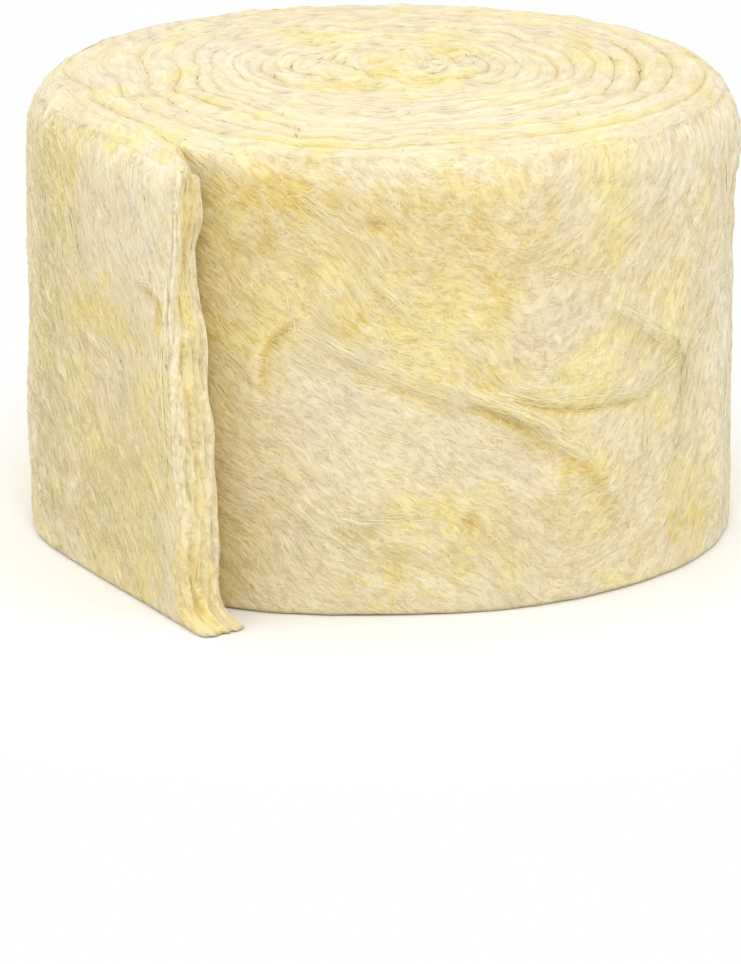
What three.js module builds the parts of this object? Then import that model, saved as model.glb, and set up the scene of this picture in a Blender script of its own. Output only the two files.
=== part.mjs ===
// A roll of unfaced glass wool blanket, standing on one of its slit edges. One long blanket is
// wound round itself until it is shut at the middle. Its turns show as crowned rings with grooves
// between them on both ends, and its loose outer end, the tail, runs straight off the roll and
// leaves a wedge-shaped gap behind it.
//
// Millimetres, +Z up. The roll's axis is the Z axis and the roll stands on Z = 0. Seen from above
// the winding grows anticlockwise, and the tail leaves it at the front left.

import * as THREE from 'three';
import { mergeVertices } from 'three/addons/utils/BufferGeometryUtils.js';

// The blanket
const blanketWidth = 152.4; // slit width, which is the height of the standing roll
const blanketThickness = 12.7; // where nothing presses it, as at the tail

// The winding
const coreRadius = 10; // crumpled start of the blanket, shut inside the first turn
const rollRadius = 109.8; // radius that the winding has reached where the tail lets go
const innerTurn = 5; // a turn's thickness at the core, where it is wound tight
const outerTurn = 10; // a turn's thickness at the outside, where it springs back

// The tail
const tailAngle = THREE.MathUtils.degToRad(209.5); // which way its outer face looks, from +X
const tailLength = 32; // straight length past the line where it lets go of the roll
const tailPress = 5; // how far it flattens the roll behind it
const rootBulge = 6.5; // how far the roll swells out beside the flat, where the tail lets go
const bulgeReach = THREE.MathUtils.degToRad(45); // angle that the swelling dies away over
const pressedTurns = 4; // turns that the flattening dies away over
const tailSag = 5; // how far its upper inner edge has sunk at the tip

// Its cut end, whose foot has dragged forward on the floor to the tip
const tailFoot = 8; // height of that foot
const footSplay = 5.6; // how far the foot's inner edge has spread towards the roll
const outerSetBack = 15; // how far the outer edge lies behind the tip, above the foot
const outerHollow = 3.5; // how much further back it curves at mid height
const innerSetBack = 10.5; // how far the inner edge lies behind the tip, above the foot
const innerLean = 6.5; // how much further back it lies at the top
const notchDepth = 9; // bite out of the inner edge
const notchHeight = 118; // where the bite is deepest
const notchReach = 16; // height over which it dies away
const plyRecess = 3; // how far the wool lies back between its two skins
const recessHeight = 90; // above this height

// The ends and their edges
const turnGroove = 2; // depth of the groove between two turns
const topRounding = 14; // radius of a free edge at the top
const baseRounding = 2; // radius of a free edge at the floor
const rimDrop = 4; // how far the top end falls away at its rim
const rimReach = 36; // width of the band that falls away
const pressBlend = 3; // radial softening where the flat stretch meets the round
const openingTurn = 0.08; // share of a turn over which a covered edge becomes a free one

// The wool is uneven, so the free side swells and sinks
const swellRise = 0.4; // height of each wave
const swells = [ // waves once round, waves up the width, and where the wave starts
  [2, 0.3, 0.53],
  [-1, 0.3, 0.65],
  [-9, 1.6, 0.51],
  [5, 1.0, 0.33],
];

// How finely it is drawn
const stationsPerTurn = 40;
const tailStations = 5;
const sideSteps = 6; // steps up a side, above the tail's foot
const topRow = sideSteps + 3; // last row of a section, on the top end
const columns = [0, 0.25, 0.75, 1]; // places across a turn, from its inner to its outer face

const fullTurn = 2 * Math.PI;

// Winding law: a turn's thickness grows with the square of the turns already wound, from innerTurn
// to outerTurn. The blanket's first turn is feathered, so the line at its inner face and the line
// at its outer face start together on the core.
const meanTurn = (2 * innerTurn + outerTurn) / 3;
const windingStations = Math.round((stationsPerTurn * (rollRadius - coreRadius)) / meanTurn);
const windingTurns = windingStations / stationsPerTurn;
const springback = rollRadius - coreRadius - innerTurn * windingTurns;
const rootStation = stationsPerTurn + windingStations; // where the tail lets go
const rootTurn = rootStation / stationsPerTurn;

// The straight tail touches the roll behind it along a chord, from the direction that it faces
// round to the line where it lets go.
const tailInnerDistance = rollRadius - tailPress;
const pressAngle = Math.acos(tailInnerDistance / (rollRadius + rootBulge));
const tailNormal = new THREE.Vector2(Math.cos(tailAngle), Math.sin(tailAngle));
const tailDirection = new THREE.Vector2(-tailNormal.y, tailNormal.x);
const tailOuterDistance = tailInnerDistance + blanketThickness;
const tailTip = tailOuterDistance * Math.tan(pressAngle) + tailLength;

function smoothStep(x) {
  return THREE.MathUtils.smoothstep(x, 0, 1);
}

function softMin(a, b, blend) {
  const overlap = Math.max(blend - Math.abs(a - b), 0) / blend;
  return Math.min(a, b) - (overlap * overlap * blend) / 4;
}

// Radius of the line between two turns, before the tail flattens it.
function spiralRadius(turn) {
  const wound = Math.max(0, turn - 1);
  return coreRadius + innerTurn * wound + springback * (wound / windingTurns) ** 3;
}

// How far that line bulges out beside the flat: a cosine hill round the tail's root.
function bulging(pastRoot, pressed) {
  const away = Math.min(1, Math.abs(pastRoot) / bulgeReach);
  return rootBulge * pressed * Math.cos((away * Math.PI) / 2) ** 2;
}

// A point of the side, moved out or in because the wool is uneven: a sum of waves that the floor
// holds back.
function swollenPlan(plan, z, share) {
  let rise = 0;
  for (const [timesRound, timesUp, start] of swells) {
    const phase = timesRound * plan.angle() + fullTurn * ((timesUp * z) / blanketWidth + start);
    rise += swellRise * Math.sin(phase);
  }
  return plan.clone().setLength(plan.length() + share * rise * smoothStep(z / tailFoot));
}

// Distance from the axis to the flat stretch of that line, behind the tail or on its outer face.
function flatDistance(turn, pressed) {
  if (turn > rootTurn) return tailInnerDistance + blanketThickness * (turn - rootTurn);
  return spiralRadius(turn) - tailPress * pressed;
}

// A point in plan on the line between two turns. Lines a whole turn apart lie on the same ray.
function linePoint(station) {
  const turn = station / stationsPerTurn;
  const pressed = Math.max(0, 1 - Math.max(0, rootTurn - turn) / pressedTurns) ** 2;
  const pastRoot = fullTurn * (turn - rootTurn - Math.round(turn - rootTurn));
  const pastNormal = pastRoot + pressAngle;
  const slope = Math.cos(pastNormal);
  let radius = spiralRadius(turn) + bulging(pastRoot, pressed);
  if (pressed > 0 && slope > 0.5) {
    const flat = flatDistance(turn, pressed) / slope;
    const runsStraightOn = turn > rootTurn + 0.5 && Math.sin(pastNormal) > 0;
    radius = runsStraightOn ? flat : softMin(radius, flat, pressBlend * pressed);
  }
  const angle = tailAngle + pastNormal;
  return new THREE.Vector2(radius * Math.cos(angle), radius * Math.sin(angle));
}

// A free edge is rounded as a quarter circle, whose middle lies this share of the radius in.
const cornerShare = 1 - Math.SQRT1_2;

function roundedDrop(distance, rounding) {
  if (distance >= rounding) return 0;
  return rounding - Math.sqrt(rounding ** 2 - (rounding - distance) ** 2);
}

// How far an end face lies back at one column, because of one side of the turn. A covered side
// makes half of a groove, and a free one makes a rounded edge.
function sideDrop(share, distance, free, rounding, crownPower) {
  const groove = turnGroove * (1 - Math.min(1, 2 * share)) ** crownPower;
  return THREE.MathUtils.lerp(groove, roundedDrop(distance, rounding), free);
}

function endColumn(inner, outer, freeInside, freeOutside, rounding, crownPower, share) {
  const thickness = inner.distanceTo(outer);
  const insetInside = Math.min(cornerShare * rounding * freeInside, thickness / 3);
  const insetOutside = Math.min(cornerShare * rounding * freeOutside, thickness / 3);
  const across = insetInside + share * (thickness - insetInside - insetOutside);
  const drop = Math.max(
    sideDrop(share, across, freeInside, rounding, crownPower),
    sideDrop(1 - share, thickness - across, freeOutside, rounding, crownPower),
  );
  const fullness = Math.min(1, thickness / innerTurn);
  const plan = thickness > 0 ? inner.clone().lerp(outer, across / thickness) : inner.clone();
  return { plan, drop: THREE.MathUtils.lerp(turnGroove, drop, fullness) };
}

function rimFall(plan) {
  const fromRim = Math.max(0, spiralRadius(rootTurn + 1) - plan.length());
  return rimDrop * Math.max(0, 1 - fromRim / rimReach) ** 2;
}

function at(plan, z) {
  return new THREE.Vector3(plan.x, plan.y, z);
}

// Heights of a side's rows: its lower edge, the tail's foot, and even steps to its upper edge.
function sideHeights(lowerEdge, upperEdge) {
  const heights = [lowerEdge];
  for (let row = 0; row <= sideSteps; row += 1) {
    heights.push(THREE.MathUtils.lerp(tailFoot, upperEdge, row / sideSteps));
  }
  return heights;
}

// The blanket's outline where a station cuts it, as a grid of columns across it and rows up it:
// the base, the rows of the side, and the top. Its outer face swells and sinks where it is free.
function section(inner, outer, freeInside, freeOutside, sag) {
  return columns.map((share) => {
    const base = endColumn(inner, outer, freeInside, freeOutside, baseRounding, 8, share);
    const top = endColumn(inner, outer, freeInside, freeOutside, topRounding, 3, share);
    const side = inner.clone().lerp(outer, share);
    const free = THREE.MathUtils.lerp(freeInside, freeOutside, share);
    const lowerEdge = THREE.MathUtils.lerp(2 * turnGroove, baseRounding, free);
    const upperEdge = THREE.MathUtils.lerp(2 * turnGroove, topRounding, free);
    const upperHeight = blanketWidth - upperEdge - rimFall(side) - sag * (1 - share);
    const swollen = share === 1 ? freeOutside : 0;
    const heights = sideHeights(lowerEdge, upperHeight);
    return [
      at(base.plan, base.drop),
      ...heights.map((z) => at(swollenPlan(side, z, swollen), z)),
      at(top.plan, blanketWidth - top.drop - rimFall(top.plan) - sag * (1 - share)),
    ];
  });
}

function windingSection(station) {
  const outside = station + stationsPerTurn;
  const uncovered = smoothStep((outside - rootStation) / stationsPerTurn / openingTurn);
  return section(linePoint(station), linePoint(outside), 0, uncovered, 0);
}

function tailPoint(distance, along) {
  const point = tailNormal.clone().multiplyScalar(distance);
  return point.addScaledVector(tailDirection, along);
}

function tailSection(index) {
  const share = index / tailStations;
  const root = { inner: linePoint(rootStation), outer: linePoint(rootStation + stationsPerTurn) };
  const inner = root.inner.lerp(tailPoint(tailInnerDistance, tailTip), share);
  const outer = root.outer.lerp(tailPoint(tailOuterDistance, tailTip), share);
  const grid = section(inner, outer, smoothStep(share), 1, tailSag * share ** 2);
  return grid.map((column, place) => column.map((point) => cutBack(point, columns[place], share)));
}

// How far the outer and the inner edge of the cut end lie behind the tip at a height.
function outerShort(z) {
  const hollow = outerHollow * Math.sin((Math.PI * z) / blanketWidth);
  return (outerSetBack + hollow) * smoothStep(z / tailFoot);
}

function innerShort(z) {
  const notch = notchDepth * Math.exp(-(((z - notchHeight) / notchReach) ** 2));
  return (innerSetBack + (innerLean * z) / blanketWidth) * smoothStep(z / tailFoot) + notch;
}

// The tail grows towards its cut end: it falls short of the tip, and its foot splays.
function cutBack(point, across, share) {
  const short = THREE.MathUtils.lerp(innerShort(point.z), outerShort(point.z), across);
  const splay = footSplay * (1 - across) * (1 - smoothStep(point.z / tailFoot));
  const moved = tailDirection.clone().multiplyScalar(-short * share);
  moved.addScaledVector(tailNormal, -splay * share ** 3);
  return point.clone().add(at(moved, 0));
}

const corners = [];

// A triangle, left out where two of its corners meet, as on the feathered first turn.
function addTriangle(a, b, c) {
  const merged = 1e-3;
  if (a.distanceTo(b) < merged || b.distanceTo(c) < merged || c.distanceTo(a) < merged) return;
  corners.push(a, b, c);
}

function addQuad(a, b, c, d) {
  addTriangle(a, b, c);
  addTriangle(a, c, d);
}

// The strips between two stations: both end faces always, and a side only where it is open.
function addSpan(from, to, innerOpen, outerOpen) {
  const last = columns.length - 1;
  for (let column = 0; column < last; column += 1) {
    addQuad(from[column][0], to[column][0], to[column + 1][0], from[column + 1][0]);
    const next = column + 1;
    addQuad(from[next][topRow], to[next][topRow], to[column][topRow], from[column][topRow]);
  }
  for (let row = 0; row < topRow; row += 1) {
    if (outerOpen) addQuad(from[last][row], to[last][row], to[last][row + 1], from[last][row + 1]);
    if (innerOpen) addQuad(from[0][row + 1], to[0][row + 1], to[0][row], from[0][row]);
  }
}

function addWinding() {
  for (let station = 0; station < rootStation; station += 1) {
    const outerOpen = station + stationsPerTurn >= rootStation;
    addSpan(windingSection(station), windingSection(station + 1), false, outerOpen);
  }
}

function addTail() {
  for (let index = 0; index < tailStations; index += 1) {
    addSpan(tailSection(index), tailSection(index + 1), true, true);
  }
}

// The cut end of the tail: towards the top its two skins stand out past the wool between them.
function addCutEnd() {
  const end = tailSection(tailStations);
  for (const column of end.slice(1, -1)) {
    for (const point of column.slice(1, -1)) {
      const recess = plyRecess * smoothStep((point.z - recessHeight) / notchReach);
      point.add(at(tailDirection.clone().multiplyScalar(-recess), 0));
    }
  }
  for (let column = 0; column < columns.length - 1; column += 1) {
    for (let row = 0; row < topRow; row += 1) {
      const [near, far] = [end[column], end[column + 1]];
      addQuad(near[row], near[row + 1], far[row + 1], far[row]);
    }
  }
}

// The core's two ends: a flat land inside the first groove, with its middle on the axis.
function addCore() {
  const landRadius = coreRadius - columns[1] * innerTurn;
  const land = (station, z) => at(linePoint(station).setLength(landRadius), z);
  const edge = (station, z) => at(linePoint(station), z);
  for (let station = 0; station < stationsPerTurn; station += 1) {
    const next = station + 1 === stationsPerTurn ? 0 : station + 1;
    for (const [z, inwards] of [[0, 1], [blanketWidth, -1]]) {
      const valley = z + inwards * turnGroove;
      const [a, b] = inwards > 0 ? [next, station] : [station, next];
      addQuad(edge(a, valley), edge(b, valley), land(b, z), land(a, z));
      addTriangle(land(a, z), land(b, z), new THREE.Vector3(0, 0, z));
    }
  }
}

function blanketGeometry() {
  addCore();
  addWinding();
  addTail();
  addCutEnd();
  const loose = new THREE.BufferGeometry().setFromPoints(corners);
  const geometry = mergeVertices(loose, 1e-3);
  geometry.computeVertexNormals();
  return geometry;
}

const glassWool = new THREE.MeshStandardMaterial({
  color: 0xe6d6a6,
  roughness: 0.95,
  metalness: 0,
});

const blanket = new THREE.Mesh(blanketGeometry(), glassWool);
blanket.name = 'wound_blanket';

const roll = new THREE.Group();
roll.add(blanket);

export default roll;
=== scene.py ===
# %% [markdown]
# # A roll of unfaced glass wool, dressed in Blender
# The roll is one long blanket of glass wool, 12.7 mm thick and 152.4 mm wide, wound round itself
# until it is shut at the middle. It stands on one slit edge, and its loose outer end, the tail,
# runs straight off the roll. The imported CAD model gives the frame: its sizes, its origin and its
# one body. The lesson replaces its plain solid by a wool surface with real relief, and then lays
# loose glass fibres over it. Lengths are in millimetres until a mesh is made, when they turn to
# metres.

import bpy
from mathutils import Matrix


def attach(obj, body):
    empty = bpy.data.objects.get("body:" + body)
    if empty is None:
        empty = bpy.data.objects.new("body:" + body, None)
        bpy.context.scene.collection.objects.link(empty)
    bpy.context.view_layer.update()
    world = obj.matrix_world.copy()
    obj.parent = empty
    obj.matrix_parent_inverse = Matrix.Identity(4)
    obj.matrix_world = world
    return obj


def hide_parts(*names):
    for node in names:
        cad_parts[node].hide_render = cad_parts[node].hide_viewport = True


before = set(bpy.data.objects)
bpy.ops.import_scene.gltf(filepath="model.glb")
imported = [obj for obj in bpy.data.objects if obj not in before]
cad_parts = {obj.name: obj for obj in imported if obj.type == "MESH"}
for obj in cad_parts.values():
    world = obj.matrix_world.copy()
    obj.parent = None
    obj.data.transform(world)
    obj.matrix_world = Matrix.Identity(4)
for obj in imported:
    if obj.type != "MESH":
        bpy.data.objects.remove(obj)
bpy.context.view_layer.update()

# %% Tools
import math

import bmesh
import bpy
import numpy as np

MM = 0.001  # one millimetre in Blender's metres
FULL_TURN = 2 * math.pi


def smooth_step(x):
    """A rise from 0 to 1 that starts and ends level: 3x^2 - 2x^3 between 0 and 1."""
    x = np.clip(x, 0, 1)
    return x * x * (3 - 2 * x)


def hill(x, width):
    """A bell of height one: exp(-(x / width)^2)."""
    return np.exp(-((x / width) ** 2))


def waves(points, size, seed, count=36):
    """Random soft relief at points: a sum of sine waves of random direction and phase, whose
    lengths lie round size, divided so that its standard deviation is one."""
    rng = np.random.default_rng(seed)
    way = rng.normal(size=(count, points.shape[-1]))
    way /= np.linalg.norm(way, axis=1)[:, None]
    number = FULL_TURN / (size * rng.uniform(0.7, 1.6, count))
    phase = rng.uniform(0, FULL_TURN, count)
    return np.sin(points @ (way * number[:, None]).T + phase).sum(-1) * math.sqrt(2 / count)

# %% [markdown]
# ## The camera
# A long lens far away flattens a small object, as it is done for a catalogue. The camera could be
# aimed with a constraint, but plain angles are easier to read: it stands 1.8 m in front of the
# roll and 0.55 m up, looks down by almost 17 degrees, and its lens is 210 mm. The roll then sits
# high in a frame of 741 by 964 pixels, with no lens shift.

# %% Camera
camera_data = bpy.data.cameras.new("studio_camera")
camera_data.lens = 210.25
camera_data.sensor_width = 36
camera = bpy.data.objects.new("studio_camera", camera_data)
bpy.context.scene.collection.objects.link(camera)
camera.location = (-0.0033, -1.7951, 0.5508)
camera.rotation_euler = (math.radians(90 - 16.743), 0, math.radians(0.098))
bpy.context.scene.camera = camera
print("camera", tuple(round(c, 3) for c in camera.location), "lens", camera_data.lens)

# %% [markdown]
# ## The studio
# Pale wool turns flat in light that is the same from everywhere, but hard light would make the
# fibres harsh. So most light comes from a pale world, and a wide key lamp in front of the roll and
# high above it shapes the folds and the rim. It stands nearly straight in front, so that it also
# reaches into the narrow wedge behind the tail. Three weaker lamps, at the left, at the right and
# overhead, keep the far sides and the top as pale as the front. The floor is plain and pale. It
# keeps the soft shadow that makes the roll stand on it, and further out it glows plain white like
# the backdrop. What it throws back on the roll is greyer than it looks, as from a table in a large
# dim room.

# %% Colours, nodes and world


def linear(code):
    """A linear colour from an sRGB hex code: each channel's curve is undone, and alpha is one."""
    parts = [int(code[i : i + 2], 16) / 255 for i in (1, 3, 5)]
    return (*[c / 12.92 if c < 0.04045 else ((c + 0.055) / 1.055) ** 2.4 for c in parts], 1)


scene = bpy.context.scene
scene.view_settings.view_transform = "Standard"


def node(tree, kind, links=(), **settings):
    """Adds a node, sets its settings by name and its inputs by links: input name or number, then
    a value, an output socket, or another node, whose first output in use is then taken."""
    made = tree.nodes.new(kind)
    for name, value in settings.items():
        setattr(made, name, value)
    for place, value in dict(links).items():
        if isinstance(value, bpy.types.Node):
            value = next(output for output in value.outputs if output.enabled)
        if isinstance(value, bpy.types.NodeSocket):
            tree.links.new(value, made.inputs[place])
        else:
            made.inputs[place].default_value = value
    return made


world = bpy.data.worlds.new("pale_studio")
scene.world = world
world.use_nodes = True
tree = world.node_tree
tree.nodes.clear()
seen = node(tree, "ShaderNodeLightPath").outputs
rays = {0: seen["Is Camera Ray"], 1: seen["Is Glossy Ray"]}
direct = node(tree, "ShaderNodeMath", rays, operation="MAXIMUM")
rays = {0: direct, 1: seen["Is Transmission Ray"]}
direct = node(tree, "ShaderNodeMath", rays, operation="MAXIMUM")
fill_light = node(tree, "ShaderNodeBackground", {"Color": linear("#FFFDF8"), "Strength": 0.93})
backdrop = node(tree, "ShaderNodeBackground", {"Color": (1, 1, 1, 1), "Strength": 1.0})
either = node(tree, "ShaderNodeMixShader", {0: direct, 1: fill_light, 2: backdrop})
node(tree, "ShaderNodeOutputWorld", {"Surface": either})
print("nodes in the world:", len(tree.nodes))

# %% Lamps


def lamp(name, place, aim, size, power):
    """A square area lamp at place that faces aim, both in metres, with its power in watts."""
    data = bpy.data.lights.new(name, "AREA")
    data.shape = "SQUARE"
    data.size = size
    data.energy = power
    made = bpy.data.objects.new(name, data)
    scene.collection.objects.link(made)
    way = np.array(aim, float) - np.array(place, float)
    made.location = place
    made.rotation_euler = (
        math.acos(-way[2] / np.linalg.norm(way)),
        0,
        math.atan2(way[1], way[0]) - math.pi / 2,
    )


MIDDLE, UPPER_END = (0, 0, 0.07), (0, 0, 0.1)  # where the lamps are aimed
lamp("key_lamp", (0.13, -1.47, 1.2), MIDDLE, 0.8, 8.2)
lamp("right_lamp", (1.41, -0.75, 0.5), MIDDLE, 0.9, 1.9)
lamp("left_lamp", (-1.45, -0.45, 0.7), MIDDLE, 0.9, 3.9)
lamp("top_lamp", (0.10, 0.1, 1.9), UPPER_END, 1.1, 2.2)

# %% Floor
floor_data = bpy.data.meshes.new("floor")
floor_data.from_pydata([(-6, -6, 0), (6, -6, 0), (6, 6, 0), (-6, 6, 0)], [], [(0, 1, 2, 3)])
floor = bpy.data.objects.new("floor", floor_data)
scene.collection.objects.link(floor)


def new_material(name):
    """A material whose node tree is empty, and that tree."""
    made = bpy.data.materials.new(name)
    made.use_nodes = True
    made.node_tree.nodes.clear()
    return made, made.node_tree


paint, tree = new_material("matt_white_floor")
place = node(tree, "ShaderNodeTexCoord").outputs["Object"]
away = node(tree, "ShaderNodeVectorMath", {0: place}, operation="LENGTH").outputs["Value"]
far = node(
    tree,
    "ShaderNodeMapRange",
    {"Value": away, "From Min": 0.13, "From Max": 0.28},  # metres from the roll's axis
    interpolation_type="SMOOTHSTEP",
)
matt = node(tree, "ShaderNodeBsdfDiffuse", {"Color": linear("#FAFAFC")})
glow = node(tree, "ShaderNodeEmission", {"Color": (1, 1, 1, 1), "Strength": 1.0})
near_or_far = node(tree, "ShaderNodeMixShader", {0: far, 1: matt, 2: glow})
bounce = node(tree, "ShaderNodeBsdfDiffuse", {"Color": linear("#D8D3C9")})
camera_ray = node(tree, "ShaderNodeLightPath").outputs["Is Camera Ray"]
either = node(tree, "ShaderNodeMixShader", {0: camera_ray, 1: bounce, 2: near_or_far})
node(tree, "ShaderNodeOutputMaterial", {"Surface": either})
floor_data.materials.append(paint)
print("nodes in the floor:", len(tree.nodes))

# %% [markdown]
# ## The winding
# The blanket's turns are about 5 mm thick near the middle, where it was wound tight, and 10 mm at
# the outside, where it springs back. A plain spiral with one pitch would show that it was drawn,
# so the radius grows with the cube of the turns. The same law shapes the CAD solid. The tail
# presses the roll flat behind it, and the roll swells a little beside that flat.

# %% Sizes of the winding
WIDTH = 152.4  # slit width, the height of the standing roll
THICKNESS = 12.7  # where nothing presses the blanket
CORE_RADIUS, ROLL_RADIUS = 10.0, 109.8
INNER_TURN, WOUND_TURNS = 5.0, 14.975
SPRINGBACK = ROLL_RADIUS - CORE_RADIUS - INNER_TURN * WOUND_TURNS
ROOT_TURN = 1 + WOUND_TURNS  # where the tail lets go of the roll
TAIL_ANGLE, TAIL_LENGTH, TAIL_PRESS = math.radians(209.5), 32.0, 5.0
ROOT_BULGE, BULGE_REACH, PRESSED_TURNS = 6.5, math.radians(45), 4.0
INNER_DISTANCE = ROLL_RADIUS - TAIL_PRESS
OUTER_DISTANCE = INNER_DISTANCE + THICKNESS
PRESS_ANGLE = math.acos(INNER_DISTANCE / (ROLL_RADIUS + ROOT_BULGE))
TAIL_NORMAL = np.array([math.cos(TAIL_ANGLE), math.sin(TAIL_ANGLE)])
TAIL_WAY = np.array([-TAIL_NORMAL[1], TAIL_NORMAL[0]])
TAIL_TIP = OUTER_DISTANCE * math.tan(PRESS_ANGLE) + TAIL_LENGTH
print("springback", round(SPRINGBACK, 1), "mm, tail tip", round(TAIL_TIP, 1), "mm along the tail")

# %% The winding law


def line_radius(turn):
    """Radius of the line between two turns: it grows by 5 mm a turn, plus a cubic spring."""
    wound = np.maximum(0, turn - 1)
    return CORE_RADIUS + INNER_TURN * wound + SPRINGBACK * (wound / WOUND_TURNS) ** 3


def line_plan(turn):
    """Plan of that line, counted in turns from the core: a point at line_radius, pushed in to a
    flat behind the tail and swollen out beside the flat by a cosine hill."""
    pressed = np.maximum(0, 1 - np.maximum(0, ROOT_TURN - turn) / PRESSED_TURNS) ** 2
    past_root = FULL_TURN * (turn - ROOT_TURN - np.round(turn - ROOT_TURN))
    past_normal = past_root + PRESS_ANGLE
    away = np.minimum(1, np.abs(past_root) / BULGE_REACH)
    radius = line_radius(turn) + ROOT_BULGE * pressed * np.cos(away * math.pi / 2) ** 2
    slope = np.maximum(np.cos(past_normal), 0.5)
    flat = np.where(
        turn > ROOT_TURN,
        INNER_DISTANCE + THICKNESS * (turn - ROOT_TURN),
        line_radius(turn) - TAIL_PRESS * pressed,
    )
    flat = flat / slope
    blend = np.maximum(3 * pressed, 1e-6)
    overlap = np.maximum(blend - np.abs(radius - flat), 0) / blend
    soft = np.minimum(radius, flat) - overlap**2 * blend / 4
    straight = (turn > ROOT_TURN + 0.5) & (np.sin(past_normal) > 0)
    bent = (pressed > 0) & (np.cos(past_normal) > 0.5)
    radius = np.where(bent, np.where(straight, flat, soft), radius)
    angle = TAIL_ANGLE + past_normal
    return np.stack([radius * np.cos(angle), radius * np.sin(angle)], -1)


some_turns = np.array([1.0, 6.0, 11.0, 16.0])
print("radius in mm at turns", some_turns, "is", line_radius(some_turns).round(1))

# %% Stations along the blanket
# They lie closer together at the front, where the folds are.
STATIONS = 240  # in one full turn, on the two ends
FINE = 2  # steps of the side for each station
TAIL_STATIONS = 13
END_STEPS = 24  # across the cut end
FRONT_SHARE, PACKING = 0.15, 0.3


def turn_at(station):
    """Turns from the core at a station: an even count plus a sine of one turn's period."""
    even = station / STATIONS
    middle = ROOT_TURN + FRONT_SHARE - 0.5
    wave = np.sin(FULL_TURN * (even - middle)) - math.sin(FULL_TURN * (ROOT_TURN - middle))
    return even + PACKING / FULL_TURN * wave


ROOT_STATION = round(ROOT_TURN * STATIONS)
print("turns", ROOT_TURN, "stations", ROOT_STATION)

# %% [markdown]
# ## The side in plan
# Everything that can be seen from the side is one closed band: it starts at the root, where the
# tail leaves, runs once round the roll, along the outer face of the tail, across its cut end, and
# back along its inner face to the root. A grid of columns round this loop and rows up it can carry
# all the folds. The loop could be traced with a Bezier curve, but points worked out from the
# winding law stay exactly on the CAD solid.

# %% The loop of the band
wall_turns = turn_at(ROOT_STATION + np.arange(STATIONS * FINE + 1) / FINE)
wall = line_plan(wall_turns)
tail_share = np.arange(1, TAIL_STATIONS * FINE + 1)[:, None] / (TAIL_STATIONS * FINE)


def tail_place(distance, along):
    """Plan of a point on the tail: so far from the axis, and so far along the tail."""
    return TAIL_NORMAL * distance + TAIL_WAY * along


outer_tip, inner_tip = tail_place(OUTER_DISTANCE, TAIL_TIP), tail_place(INNER_DISTANCE, TAIL_TIP)
tail_outside = wall[-1] + tail_share * (outer_tip - wall[-1])
end_share = np.arange(1, END_STEPS + 1)[:, None] / END_STEPS
cut_end = outer_tip + end_share * (inner_tip - outer_tip)
tail_inside = inner_tip + tail_share[:-1] * (wall[0] - inner_tip)
loop = np.concatenate([wall, tail_outside, cut_end, tail_inside])

step = np.linalg.norm(np.diff(loop, axis=0, append=loop[:1]), axis=1)
along_loop = np.concatenate([[0], np.cumsum(step)[:-1]])  # millimetres round the loop
tangent = np.roll(loop, -1, 0) - np.roll(loop, 1, 0)
tangent /= np.linalg.norm(tangent, axis=1)[:, None]
outward = np.stack([tangent[:, 1], -tangent[:, 0]], -1)

COLUMNS = len(loop)
OUTER_ROOT = STATIONS * FINE  # column where the wall turns into the tail's outer face
OUTER_TIP = OUTER_ROOT + TAIL_STATIONS * FINE
INNER_TIP = OUTER_TIP + END_STEPS
column = np.arange(COLUMNS)
ROOT_LENGTH, TIP_LENGTH = along_loop[OUTER_ROOT], along_loop[OUTER_TIP]
print("columns", COLUMNS, "once round", round(ROOT_LENGTH), "mm, tail to", round(TIP_LENGTH), "mm")

# %% [markdown]
# ## The band's profile
# A slit edge of glass wool is soft: at the top it falls away in a quarter circle of about 14 mm,
# and at the floor the roll's weight keeps it nearly square. The profile is therefore an eighth of
# a circle at the foot, a straight wall, and an eighth of a circle at the top. The two ends of the
# roll take over from there.

# %% Rows of the profile
ROWS = 116
TOP_ROUNDING, BASE_ROUNDING = 14.0, 2.0
RIM_DROP, RIM_REACH = 4.0, 36.0

on_wall = column <= OUTER_ROOT
on_end = (column >= OUTER_TIP) & (column <= INNER_TIP)
past_root = (column / FINE) / STATIONS
# along the outer and the inner face of the tail: 0 at the root, 1 at the tip
outer_share = np.clip((column - OUTER_ROOT) / (OUTER_TIP - OUTER_ROOT), 0, 1)
inner_share = np.clip((COLUMNS - column) / (COLUMNS - INNER_TIP), 0, 1)
tip_share = np.where(column <= OUTER_TIP, outer_share, np.where(on_end, 1.0, inner_share))
across = np.clip((column - OUTER_TIP) / END_STEPS, 0, 1)  # 0 at the outer face, 1 at the inner

# The rim is 14 mm round. It narrows in the corner where the tail leaves the roll, on the tail's
# inner face, and towards the cut end.
on_outer_face = (column > OUTER_ROOT) & (column < OUTER_TIP)
near_edge = np.minimum(np.abs(along_loop - TIP_LENGTH), np.abs(along_loop - along_loop[INNER_TIP]))
rounding = np.where(on_wall, 2 + 12 * smooth_step(past_root / 0.08), TOP_ROUNDING)
rounding = np.where(column > INNER_TIP, 3 + 7 * smooth_step(inner_share), rounding)
rounding = np.where(on_end, 4 + 3 * hill(near_edge, 3), rounding)
rounding = np.where(on_outer_face, 7 + 7 * smooth_step((1 - outer_share) * 4), rounding)


def rim_fall(plan):
    """How far the top end falls away towards its rim: a parabola over the outer 36 mm."""
    from_rim = line_radius(ROOT_TURN + 1) - np.linalg.norm(plan, axis=-1)
    return RIM_DROP * np.maximum(0, 1 - np.maximum(0, from_rim) / RIM_REACH) ** 2


TAIL_SLUMP = 5.0  # how far the tip's inner edge has slumped below the top
outer_slump = TAIL_SLUMP * tip_share**2 * across
slump = np.where(column > INNER_TIP, TAIL_SLUMP * inner_share**2, outer_slump)
top_level = WIDTH - rim_fall(loop) - slump

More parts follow.
